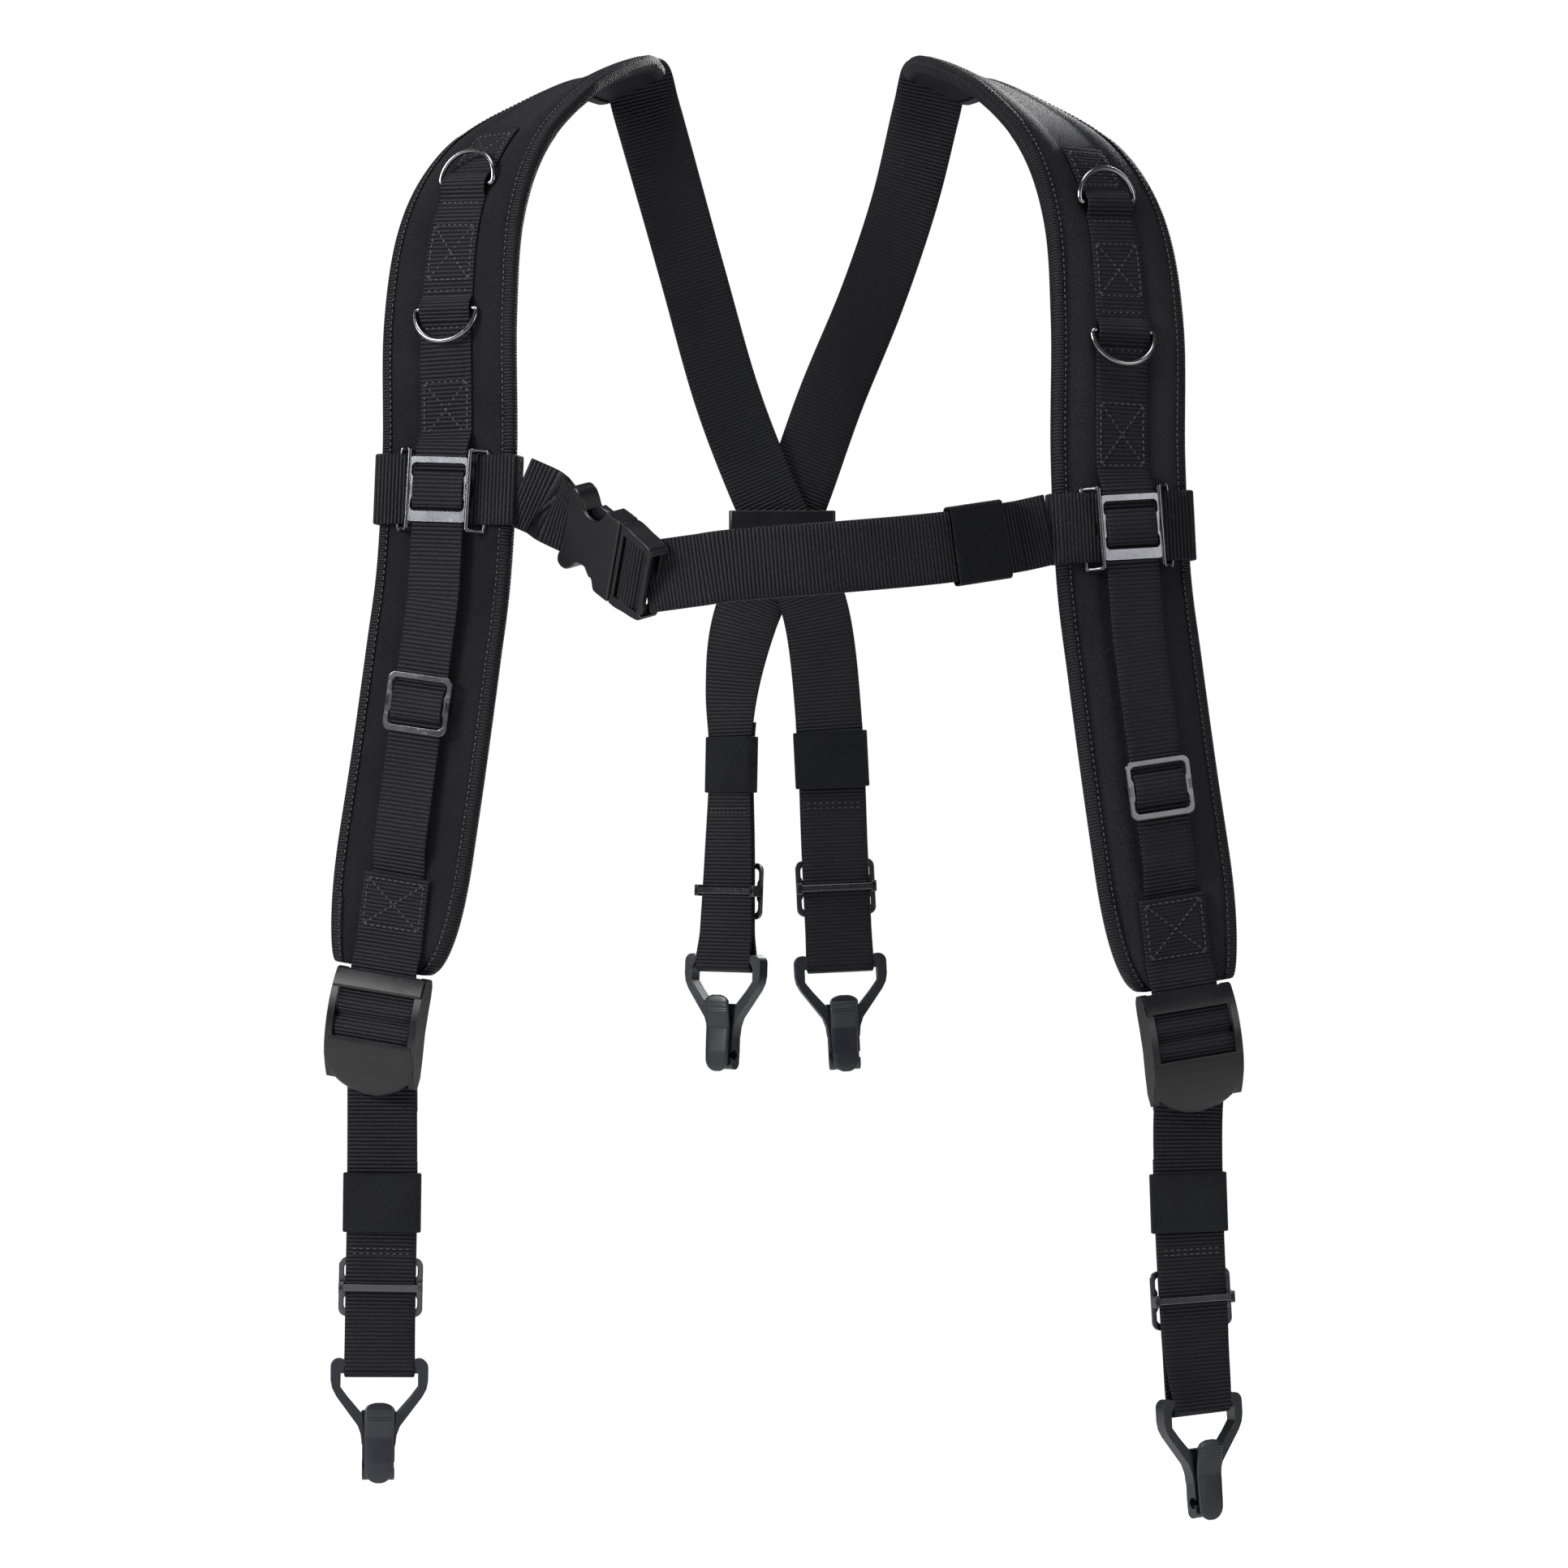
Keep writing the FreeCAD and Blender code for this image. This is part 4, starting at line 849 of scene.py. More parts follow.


# ======================================================================================================
# Plastic and metal. Moulded nylon buckles and hooks with a satin grain, and slides and rings in dark nickel
# with scuffed patches a little brighter.
def grain_group():
    """Fine moulded grain, large soft flow marks, and scuffs, from object coordinates in metres."""
    tree, into, out = new_group("grain", [("Place", "NodeSocketVector", None)], ["Height", "Flow", "Scuff"])
    fine = node(tree, "ShaderNodeTexNoise", Scale=2600.0, Detail=2.0)
    flow = node(tree, "ShaderNodeTexNoise", Scale=60.0, Detail=2.0)
    scuff = node(tree, "ShaderNodeTexNoise", Scale=420.0, Detail=3.0, Roughness=0.6)
    for texture in (fine, flow, scuff):
        tree.links.new(into.outputs[0], texture.inputs["Vector"])
    tree.links.new(fine.outputs[0], out.inputs["Height"])
    tree.links.new(flow.outputs[0], out.inputs["Flow"])
    sharp = calc(tree, "MULTIPLY", calc(tree, "SUBTRACT", scuff.outputs[0], 0.56), 6.0)
    tree.links.new(calc(tree, "MINIMUM", calc(tree, "MAXIMUM", sharp, 0.0), 1.0), out.inputs["Scuff"])
    return tree


GRAIN = grain_group()


def hard_material(name, colour, worn, roughness, metallic, bump, coat=0.0, specular=0.5):
    """Plastic or metal with grain in the normal and roughness, and scuffed patches of a worn colour."""
    material = bpy.data.materials.new(name)
    material.use_nodes = True
    tree = material.node_tree
    shader = tree.nodes["Principled BSDF"]
    place = tree.nodes.new("ShaderNodeTexCoord")
    group = tree.nodes.new("ShaderNodeGroup")
    group.node_tree = GRAIN
    tree.links.new(place.outputs["Object"], group.inputs["Place"])
    amount = calc(tree, "MULTIPLY", group.outputs["Scuff"], 0.25)
    tree.links.new(blend_colour(tree, amount, (*colour, 1.0), (*worn, 1.0)), shader.inputs["Base Color"])
    rough = calc(tree, "MULTIPLY_ADD", group.outputs["Flow"], 0.2, roughness - 0.1)
    rough = calc(tree, "MULTIPLY_ADD", group.outputs["Scuff"], 0.12, rough)
    tree.links.new(rough, shader.inputs["Roughness"])
    raised = node(tree, "ShaderNodeBump", Strength=0.5, Distance=bump, Height=group.outputs["Height"])
    tree.links.new(raised.outputs[0], shader.inputs["Normal"])
    shader.inputs["Metallic"].default_value = metallic
    shader.inputs["Specular IOR Level"].default_value = specular
    shader.inputs["Coat Weight"].default_value = coat
    shader.inputs["Coat Roughness"].default_value = 0.18
    return material


HOOK_PLASTIC = hard_material("hook_plastic", (0.010, 0.0115, 0.017), (0.02, 0.023, 0.03), 0.34, 0.0, 0.00006)
BUCKLE_PLASTIC = hard_material("buckle_plastic", (0.005, 0.005, 0.006), (0.012, 0.012, 0.014), 0.30, 0.0,
                               0.00005, 0.05, 0.34)
NICKEL = hard_material("dark_nickel", (0.20, 0.196, 0.20), (0.30, 0.295, 0.29), 0.18, 1.0, 0.000005)
SLIDE_METAL = hard_material("slide_metal", (0.11, 0.11, 0.12), (0.20, 0.20, 0.21), 0.24, 1.0, 0.000005)
SPRING = hard_material("spring_steel", (0.45, 0.45, 0.46), (0.6, 0.6, 0.6), 0.25, 1.0, 0.00002)


def merged_copy(name, *sources):
    """New object with the welded faces of one or more CAD solids, flat faces joined up."""
    work = bmesh.new()
    for source in sources:
        work.from_mesh(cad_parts[source].data)
    bmesh.ops.remove_doubles(work, verts=work.verts, dist=2e-6)
    bmesh.ops.dissolve_limit(work, angle_limit=math.radians(1.0), verts=work.verts, edges=work.edges)
    mesh = bpy.data.meshes.new(name)
    work.to_mesh(mesh)
    work.free()
    mesh.polygons.foreach_set("use_smooth", [True] * len(mesh.polygons))
    made = bpy.data.objects.new(name, mesh)
    bpy.context.scene.collection.objects.link(made)
    return made


def softened(piece, width, angle=35.0, segments=3):
    """Rounds a hard piece's sharp edges with a bevel that keeps its flat faces shaded flat."""
    bevel = piece.modifiers.new("edges", "BEVEL")
    bevel.width = width * MM
    bevel.segments = segments
    bevel.limit_method = "ANGLE"
    bevel.angle_limit = math.radians(angle)
    bevel.use_clamp_overlap = True
    bevel.harden_normals = True
    return piece


def hard_copy(node_name, body, material, slot_name, width):
    """A CAD solid's own shape with rounded edges, in place of it."""
    piece = softened(merged_copy(node_name + "_made", node_name), width)
    return finish_piece(piece, body, material, slot_name, node_name)


def local_piece(name, place, points, faces):
    """Object from points on a fitting's own axes, x across the strap, y away from its face and z up it."""
    centre, across, outward, along = (part[0] for part in place)
    points = np.asarray(points, float)
    world = centre + points[:, :1] * across - points[:, 1:2] * outward - points[:, 2:] * along
    if np.dot(np.cross(across, -outward), -along) < 0:
        faces = [f[::-1] for f in faces]
    return mesh_piece(name, world, faces)


def bmesh_parts(work):
    """Points in rows and faces as index lists of a bmesh, with its normals made to look outward."""
    bmesh.ops.recalc_face_normals(work, faces=work.faces)
    work.verts.index_update()
    points = [tuple(v.co) for v in work.verts]
    faces = [[v.index for v in f.verts] for f in work.faces]
    work.free()
    return points, faces


def plate(outlines, low, high, axis="y"):
    """Flat solid between two depths along an axis, from one outline and any holes in it."""
    work = bmesh.new()
    for outline in outlines:
        ring = [work.verts.new((a, low, b) if axis == "y" else (low, a, b)) for a, b in outline]
        for start, end in zip(ring, ring[1:] + ring[:1]):
            work.edges.new((start, end))
    bmesh.ops.triangle_fill(work, edges=work.edges[:], use_beauty=True)
    bmesh.ops.dissolve_limit(work, angle_limit=0.01, verts=work.verts, edges=work.edges, delimit=set())
    grown = bmesh.ops.extrude_face_region(work, geom=work.faces[:])
    moved = [v for v in grown["geom"] if isinstance(v, bmesh.types.BMVert)]
    step = (0, high - low, 0) if axis == "y" else (high - low, 0, 0)
    bmesh.ops.translate(work, verts=moved, vec=step)
    return bmesh_parts(work)


def block(x0, x1, y0, y1, z0, z1):
    """Box between two corners."""
    return plate([[(x0, z0), (x1, z0), (x1, z1), (x0, z1)]], y0, y1)


def wire(path, radius, closed=False, sides=14):
    """Round wire along a path, closed on itself or with flat ends."""
    path = np.asarray(path, float)
    if closed:
        ahead = unit(np.roll(path, -1, 0) - np.roll(path, 1, 0))
    else:
        ahead = unit(np.gradient(path, axis=0))
    flat = unit(np.cross(ahead, np.cross(path[len(path) // 2] - path[0], path[-1] - path[0]) + 1e-9))
    if np.isnan(flat).any() or len(path) < 4:
        helper = np.array([0.0, 0.0, 1.0]) if abs(ahead[0][2]) < 0.9 else np.array([0.0, 1.0, 0.0])
        flat = unit(np.cross(ahead, helper))
    other = np.cross(ahead, flat)
    turn = np.linspace(0, 2 * np.pi, sides, endpoint=False)
    round_flat, round_other = flat[:, None] * np.cos(turn)[:, None], other[:, None] * np.sin(turn)[:, None]
    points = path[:, None] + radius * (round_flat + round_other)
    grid = np.arange(len(path) * sides).reshape(-1, sides)
    if closed:
        faces = skin_faces(np.concatenate([grid, grid[:1]]))[:-2]
    else:
        faces = skin_faces(grid)
    return skin(points.reshape(-1, 3), faces)


def skin(points, faces):
    """Points in rows and faces of a closed form, its faces looking outward."""
    work = bmesh.new()
    verts = [work.verts.new(p) for p in points]
    for face in faces:
        work.faces.new([verts[i] for i in face])
    return bmesh_parts(work)


def pile(*parts):
    """Several (points, faces) as one."""
    points, faces, base = [], [], 0
    for p, f in parts:
        points += [tuple(x) for x in p]
        faces += [[i + base for i in face] for face in f]
        base += len(p)
    return points, faces


def arc(x, z, radius, start, stop, count=8):
    """Points on an arc, by degrees from +x."""
    return [(x + radius * math.cos(a), z + radius * math.sin(a))
            for a in np.radians(np.linspace(start, stop, count))]


def rounded_box(width, low, high, radius):
    """Outline of a rectangle with rounded corners, centred across."""
    half = width / 2 - radius
    return (arc(half, high - radius, radius, 0, 90) + arc(-half, high - radius, radius, 90, 180)
            + arc(-half, low + radius, radius, 180, 270) + arc(half, low + radius, radius, 270, 360))


def shell_loft(rows):
    """Closed smooth body from (z, half width, near y, far y) rows: superellipses, capped at both ends."""
    z, half, near, far = (part[:, None] for part in np.array(rows).T)
    turn = np.linspace(0, 2 * np.pi, 28, endpoint=False)
    c, s = np.cos(turn), np.sin(turn)
    x = half * np.sign(c) * np.abs(c) ** 0.45
    y = (near + far) / 2 + (far - near) / 2 * np.sign(s) * np.abs(s) ** 0.6
    points = np.stack([x, y, z + 0 * x], -1)
    return skin(points.reshape(-1, 3), skin_faces(np.arange(x.size).reshape(x.shape)))


def fitted(name, body, place, parts, material, slot_name, width, *nodes):
    """A fitting made of closed parts on its own axes, its edges rounded, in place of CAD nodes."""
    piece = softened(local_piece(name, place, *pile(*parts)), width)
    return finish_piece(piece, body, material, slot_name, *nodes)


# ---- snap hooks: rounded ears on the web bar, arms that run together, a shank with an eye low in its sides
HOOK_EAR = 26.25
HOOK_TIP = -60.0
EYE_Y = -1.4
EYE_Z = -51.4
PIN_Y = -1.6
PIN_Z = -38.0


def hook_arm(sign):
    """One ear and arm, as a plate seen from the front."""
    ear = arc(HOOK_EAR - 4.6, 1.2, 4.6, 0, 150, 9)
    inside = [(HOOK_EAR - 5.3, -2.0), (HOOK_EAR - 5.2, -9.4), (17.0, -14.8), (8.9, -24.2), (8.2, -33.0),
              (8.5, -41.0)]
    outside = [(9.0, -41.0), (9.6, -35.5), (11.4, -30.5), (15.5, -25.0), (HOOK_EAR - 3.0, -14.6),
               (HOOK_EAR - 0.8, -10.4), (HOOK_EAR, -6.0)]
    return plate([[(sign * x, z) for x, z in ear + inside + outside]], -3.9, 3.9)


def hook_wall(x0, x1):
    """One side of the shank, open at the eye, seen from the side."""
    eye = arc(EYE_Y, EYE_Z, 3.0, 150, -150, 13)
    outline = ([(-2.4, -24.5), (-2.6, -33.0), (-4.0, -37.0), (-4.0, EYE_Z + 2.4)] + eye
               + [(-4.0, EYE_Z - 2.6)] + arc(-0.2, -56.0, 3.9, 190, 350, 9) + [(4.0, -50.0), (4.0, -24.5)])
    return plate([outline], x0, x1, "x")


def hook_parts():
    """The frame of a hook."""
    bar = wire([(x, 0, 0) for x in np.linspace(-HOOK_EAR + 2, HOOK_EAR - 2, 5)], HOOK_BAR_R)
    walls = [hook_wall(5.9, 8.7), hook_wall(-8.7, -5.9)]
    back = plate([rounded_box(13.0, HOOK_TIP + 0.4, -22.6, 1.6)], 1.8, 3.9)
    bridge = plate([rounded_box(18.6, -28.0, -22.4, 0.8)], -1.2, 3.8)
    toe = wire([(x, -0.2, -56.2) for x in np.linspace(-6.2, 6.2, 4)], 3.6)
    return [bar, hook_arm(1), hook_arm(-1)] + walls + [back, bridge, toe]


LEVER_NEAR = [(-61, -7.6), (-50, -8.0), (-36, -7.4), (-29, -8.6), (-22, -9.6), (-17, -9.4)]
LEVER_FAR = [(-61, -4.6), (-50, -4.7), (-36, -4.6), (-30, -5.0), (-24, -6.4), (-17, -7.2)]
LEVER_HALF = 8.1
RIB_TOP = -20.4
RIB_LOW = -26.9
RIB_PITCH = 1.35


def lever_parts():
    """The lever: a wide crowned plate before the shank, ribbed for the thumb, and its web round the pin.

    Half its width is a quarter ellipse at each end, and the ribs are the upper halves of a sine.
    """
    z = np.concatenate([np.linspace(-17.4, -20.0, 7), np.arange(RIB_TOP, -27.2, -0.2),
                        np.linspace(-28, -55, 28), np.linspace(-56, -61.0, 12)])
    top = np.sqrt(np.maximum(0.0, 1 - np.maximum(0.0, (z + 21.4) / 4.2) ** 2))
    low = np.sqrt(np.maximum(0.0, 1 - np.maximum(0.0, (-54.2 - z) / 7.0) ** 2))
    full = np.minimum(top, low)
    half = np.maximum(0.6, (LEVER_HALF - 0.55 * smooth((-28 - z) / 30)) * full)
    ribbed = (z < RIB_TOP) & (z > RIB_LOW)
    rib = 0.22 * ribbed * np.maximum(0.0, np.sin((z - RIB_TOP) / RIB_PITCH * 2 * math.pi))
    near, far = (np.interp(z, *np.array(rows).T) for rows in (LEVER_NEAR, LEVER_FAR))
    ends = 0.9 * (1 - full)
    rows = np.stack([z, half, near - rib + ends, far - ends * 0.6], 1)
    web = plate([[(-6.4, -33.8), (-0.2, -35.6), (0.6, PIN_Z), (-0.2, -40.6), (-6.4, -43.0)]], -5.3, 5.3, "x")
    return [shell_loft(rows), web]


def hook_place(name):
    """The web bar of a hook."""
    kind, lower = name.split("_")
    side = lower if kind == "front" else {"left": "right", "right": "left"}[lower]
    route = (FRONT_ROUTE if kind == "front" else REAR_ROUTE)[side]
    return one(route, len(route) - 1)


for name in ("front_left", "front_right", "rear_left", "rear_right"):
    place = hook_place(name)
    fitted("hook_%s_frame" % name, "hook_" + name, place, hook_parts(), HOOK_PLASTIC, "hook_plastic", 0.9,
           "hook_body_" + name)
    fitted("hook_%s_lever" % name, "hook_lever_" + name, place, lever_parts(), HOOK_PLASTIC, "hook_plastic",
           0.3, "hook_lever_" + name)
    pin = wire([(x, PIN_Y, PIN_Z) for x in np.linspace(-8.9, 8.9, 4)], 1.55)
    leaf = [(-0.4, -27.4), (1.2, -27.6), (1.2, -34.0), (1.7, -34.0), (1.7, -26.6), (-0.4, -26.8)]
    fitted("hook_%s_pin" % name, "hook_" + name, place, [pin, plate([leaf], -2.5, 2.5, "x")], SPRING,
           "spring_steel", 0.15, "hook_pin_" + name, "hook_spring_" + name)


# ---- ladder-locks: bowed side walls, a cap over the pad's webbing, a bar for the strap and a thumb tab
LOCK_HALF = 26.0
LOCK_WALL = 4.0
LOCK_BOW = [(2.2, 5.4), (-3.0, 6.2), (-6.4, 4.0), (-9.6, -2.0), (-12.2, -10.0), (-13.6, -19.0),
            (-13.8, -27.0), (-13.0, -35.0), (-10.8, -42.0), (-7.6, -48.5), (-4.0, -54.0)]
LOCK_BACK = [(-1.6, -54.5), (1.4, -48.0), (1.6, -38.0), (1.0, -24.0), (2.4, -12.0), (3.8, -4.0), (4.0, 2.0)]
LOCK_CAP = [(-4.9, 5.4), (-5.8, 6.3), (-7.3, 5.6), (-9.6, 1.6), (-11.2, -2.6), (-10.8, -4.0), (-9.0, -4.0),
            (-7.8, -1.0), (-5.6, 2.8)]
LOCK_LEDGE = [(-13.7, -30.4), (-13.9, -32.0), (-13.2, -36.0), (-10.6, -36.0), (-11.2, -30.6)]
TAB_NEAR = [(-61, -2.2), (-56, -5.6), (-50, -9.0), (-44, -11.8), (-38, -13.5), (-33, -13.9)]
TAB_TOP = -33.0
TAB_TIP = -61.0


def lock_parts():
    """One ladder-lock on the axis of its top bar. The thumb tab's half width falls off as a superellipse."""
    outline = [tuple(p) for p in smooth_path(LOCK_BOW, 41)] + LOCK_BACK
    inner = LOCK_HALF - LOCK_WALL / 2
    parts = [plate([outline], LOCK_HALF - LOCK_WALL, LOCK_HALF, "x"),
             plate([outline], -LOCK_HALF, LOCK_WALL - LOCK_HALF, "x")]
    for y, z in ((0, 0), (-LOCK_WEB_BAR[0], -LOCK_WEB_BAR[1])):
        parts.append(wire([(x, y, z) for x in np.linspace(-inner, inner, 5)], LOCK_BAR_R))
    parts.append(plate([LOCK_CAP], 0.6 - LOCK_HALF, LOCK_HALF - 0.6, "x"))
    parts.append(plate([LOCK_LEDGE], -inner, inner, "x"))
    z = np.linspace(TAB_TOP, TAB_TIP, 44)
    share = (TAB_TOP - z) / (TAB_TOP - TAB_TIP)
    half = LOCK_HALF * np.sqrt(np.maximum(0.004, 1 - np.maximum(0.0, (share - 0.25) / 0.76) ** 2.1))
    near = np.interp(z, *np.array(TAB_NEAR).T)
    return parts + [shell_loft(np.stack([z, half, near, near + 2.6 - 0.6 * share], 1))]


# ---- three-bar slides: a flat frame with rounded windows in front of the webbing and a middle bar behind it
def waisted_window(half, low, high, nip):
    """Window whose sides are nipped in at the middle bar."""
    r = 2.6
    waist = [(half, high - 6), (half - nip, high - 8), (half - nip, low + 8), (half, low + 6)]
    right = arc(half - r, high - r, r, 90, 0, 6) + waist + arc(half - r, low + r, r, 0, -90, 6)
    return right + [(-x, z) for x, z in right[::-1]]


def slide_parts(web, thick, height, play, front, bottom=3.6):
    """Frame, ties and middle bar. front is -1 where the frame is on the viewer's side."""
    width = web + 7.4
    near = thick / 2 + play
    frame_y = sorted((front * near, front * (near + BAR)))
    bar_y = sorted((-front * near, -front * (near + BAR)))
    window = waisted_window(width / 2 - 2.9, -height / 2 + bottom, height / 2 - 3.2, 1.1)
    frame_plate = plate([rounded_box(width, -height / 2, height / 2, 4.4), window], *frame_y)
    middle = plate([rounded_box(width, -1.9, 1.9, 1.2)], *bar_y)
    ties = [block(x, x + 3.0, -near - BAR, near + BAR, -3.2, 3.2) for x in (-width / 2, width / 2 - 3.0)]
    return [frame_plate, middle] + ties


def laced(name, body, place, path, width, material):
    """Webbing seen in a fitting's window. The path's rows go outward and down from the fitting's place."""
    centre, across, outward, along = (part[0] for part in place)
    points = centre + outward * path[:, :1] + along * path[:, 1:]
    ahead = unit(np.gradient(points, axis=0))
    side_on = np.repeat(across[None], len(points), 0)
    run = (points, side_on, unit(np.cross(ahead, side_on)), ahead)
    made = mesh_piece(name, *tube(run, web_section(width, LACED_THICK)))
    return finish_piece(made, body, material, "webbing")


def hump_path(height):
    """A low arch of webbing as high as a slide's window: half a cosine, blunted, down its height."""
    s = np.linspace(-1, 1, 17)
    return np.stack([HUMP_BASE + HUMP_RISE * np.cos(s * np.pi / 2) ** 0.7, s * height / 2], 1)


LACED_THICK = 1.3
HUMP_BASE = 1.5
HUMP_RISE = 1.9
LOCK_LACING = [(6.4, 1.0), (8.6, 6.0), (10.6, 10.2), (11.0, 13.6), (9.9, 17.0), (8.9, 18.4), (10.2, 19.6),
               (11.8, 22.6), (12.0, 26.4), (10.6, 30.6), (8.2, 34.0), (7.6, 37.0)]


def d_ring_parts(turn):
    """D-ring of bent wire, turned about its straight bar by so many degrees."""
    bow = 18.0
    path = [(x, 0.0) for x in np.linspace(-bow + 2, bow - 2, 8)]
    path += arc(bow - 2, -2, 2, 90, 0, 5)[1:]
    path += [(bow * math.cos(a), -2 - (bow - 1.4) * math.sin(a)) for a in np.linspace(0.12, np.pi - 0.12, 40)]
    path += arc(2 - bow, -2, 2, 180, 90, 5)[:-1]
    a = math.radians(turn)
    return [wire([(x, -z * math.sin(a), z * math.cos(a)) for x, z in path], RING_WIRE, closed=True)]


def ring_place(side, number):
    """Bar of a D-ring, in its tunnel under the pad webbing."""
    route = pad_route(side)
    return one(route, at_height(route, RING_Z[side][number]), FACE + GAP + RING_WIRE + 0.2)


for side in SIDES:
    fitted("lock_" + side, "ladder_lock_" + side, lock_place(side), lock_parts(), BUCKLE_PLASTIC,
           "buckle_plastic", 0.8, "ladder_lock_" + side)
    laced("lock_%s_lacing" % side, "ladder_lock_" + side, lock_place(side), smooth_path(LOCK_LACING, 67),
          2 * (LOCK_HALF - LOCK_WALL) - 0.6, WEBBING)
    upper, lower = free_web_runs(side)
    chest_place = one(upper, at_height(upper, CHEST_SLIDE_Z[side]))
    width, tall, depth = PAD_WEB + 7.4, WEB / 2 + 1.2, FREE_WEB - (FACE + GAP + BAR / 2)
    loops = []
    for sign in (-1, 1):
        reach, root, front = sign * (width / 2 + 6.4), sign * (width / 2 - 1.2), -PAD_WEB_THICK / 2 - 1.2
        corner = [(root, front, tall + 1.2), (root + sign * 1.6, front + 0.8, tall + 1.3),
                  (reach - sign * 1.8, depth - 1.4, tall + 1.3), (reach, depth - 0.8, tall - 0.4)]
        loop = corner + [(reach, depth - 0.8, 0.0)] + [(x, y, -z) for x, y, z in corner[::-1]]
        loops.append(wire(spline(np.array(loop), np.linspace(0, len(loop) - 1, 57)), 1.1))
        loops.append(wire([(root, front - 0.2, z) for z in np.linspace(-tall - 1.2, tall + 1.2, 5)], 1.25))
    fitted("chest_slide_%s_metal" % side, "chest_slide_" + side, chest_place,
           slide_parts(PAD_WEB, PAD_WEB_THICK, 35.0, GAP, -1, 5.6) + loops, SLIDE_METAL, "slide_metal", 0.55,
           "chest_slide_" + side)
    laced("chest_slide_%s_web" % side, "chest_slide_" + side, chest_place, hump_path(19.0), PAD_WEB - 0.6,
          PAD_WEBBING)
    pad_place = one(lower, at_height(lower, PAD_SLIDE_Z[side]))
    fitted("pad_slide_%s_metal" % side, "pad_slide_" + side, pad_place,
           slide_parts(PAD_WEB, PAD_WEB_THICK, 32.0, GAP, -1), SLIDE_METAL, "slide_metal", 0.55,
           "pad_slide_" + side)
    laced("pad_slide_%s_web" % side, "pad_slide_" + side, pad_place, hump_path(17.0), PAD_WEB - 0.6,
          PAD_WEBBING)
    for number, (which, turn) in enumerate((("upper", -160), ("lower", -12))):
        fitted("ring_%s_%s" % (which, side), "d_ring_%s_%s" % (which, side), ring_place(side, number),
               d_ring_parts(turn), NICKEL, "ring_metal", 0.05, "d_ring_%s_%s" % (which, side))
    other = "right" if side == "left" else "left"
    for kind, strap_route, name in (("front", FRONT_ROUTE[side], "front_" + side),
                                    ("rear", REAR_ROUTE[side], "rear_" + other)):
        place = one(strap_route, at_height(strap_route, SLIDE_Z[kind][side]))
        fitted("slide_%s_metal" % name, "strap_slide_" + name, place,
               slide_parts(WEB, 2 * WEB_THICK + LAYERS, 32.0, 1.0, 1), SLIDE_METAL, "slide_metal", 0.55,
               "strap_slide_" + name)


hard_copy("crossing_slide", "harness", BUCKLE_PLASTIC, "buckle_plastic", 0.6)
# ---- chest buckle: a waisted shell with rounded horns, and a male half whose arms hold the strap's fold
BUCKLE_HALF = 24.5
SHELL_FLANK = [(14.0, 34.0), (18.5, 36.0), (22.6, 35.6), (24.6, 32.4), (24.0, 28.0), (20.6, 24.2),
               (16.6, 21.0), (15.0, 16.0), (15.6, 10.6), (19.2, 7.0), (23.6, 4.6), (BUCKLE_HALF, 1.0)]
ARM = [(24.2, -8.8), (24.4, -14.0), (23.4, -21.0), (22.8, -28.0), (21.6, -33.4), (19.4, -35.0), (18.2, -33.0),
       (19.0, -8.8)]
BUCKLE_FOLD = [(-0.5, 12.2), (2.6, 12.6), (4.6, 14.2), (5.3, 18.0), (5.0, 22.0), (4.2, 26.0), (2.8, 29.0),
               (2.0, 33.0)]


def mirrored(edge):
    """Closed outline from one edge of a form that is the same on both sides."""
    return edge + [(-x, z) for x, z in edge[::-1]]


flank = [tuple(p) for p in smooth_path(SHELL_FLANK, 40)] + [(BUCKLE_HALF, -8.0)]
horns = [tuple(p) for p in smooth_path(SHELL_FLANK[:7], 22)] + [(16.0, 20.6)]
shell_parts = [plate([mirrored(flank)], -6.5, -4.4), plate([mirrored(flank)], 4.4, 6.5),
               plate([mirrored(horns)], -6.2, 6.2)]
shell_parts += [block(x, x + 2.1, -6.3, 6.3, -8.0, 4.4) for x in (-BUCKLE_HALF, BUCKLE_HALF - 2.1)]
buckle_place = one(CHEST_ROUTE, BUCKLE_T)
fitted("buckle_female", "harness", buckle_place, shell_parts, BUCKLE_PLASTIC, "buckle_plastic", 1.1,
       "buckle_shell")

base_parts = [plate([[(sign * x, z) for x, z in smooth_path(ARM, 30)]], -5.9, 5.9) for sign in (1, -1)]
base_parts += [block(-21.0, 21.0, -5.6, 5.6, -11.4, -8.8), block(-20.0, 20.0, -1.6, 2.6, -22.4, -19.4),
               block(-20.6, 20.6, -5.8, -3.4, -34.4, -31.0), block(-20.6, 20.6, 2.2, 5.4, -34.4, -30.0),
               block(-3.0, 3.0, -1.6, 1.6, -9.0, 14.0)]
fitted("buckle_male", "harness", buckle_place, base_parts, BUCKLE_PLASTIC, "buckle_plastic", 1.0,
       "buckle_base")
laced("buckle_fold", "harness", buckle_place, smooth_path(BUCKLE_FOLD, 43), WEB - 0.4, WEBBING)
hard_copy("buckle_prong_upper", "buckle_prong_upper", BUCKLE_PLASTIC, "buckle_plastic", 0.5)
hard_copy("buckle_prong_lower", "buckle_prong_lower", BUCKLE_PLASTIC, "buckle_plastic", 0.5)

# ======================================================================================================
# Stitching. Black bonded thread laid as short raised stitches: a row along each binding, boxes with a cross
# where webbing is sewn down, and rows where the straps' layers are caught.
THREAD = hard_material("thread", (0.035, 0.034, 0.040), (0.06, 0.058, 0.066), 0.4, 0.0, 0.00004)
STITCH_PITCH = 3.3
STITCH_HALF = (1.2, 0.42, 0.36)


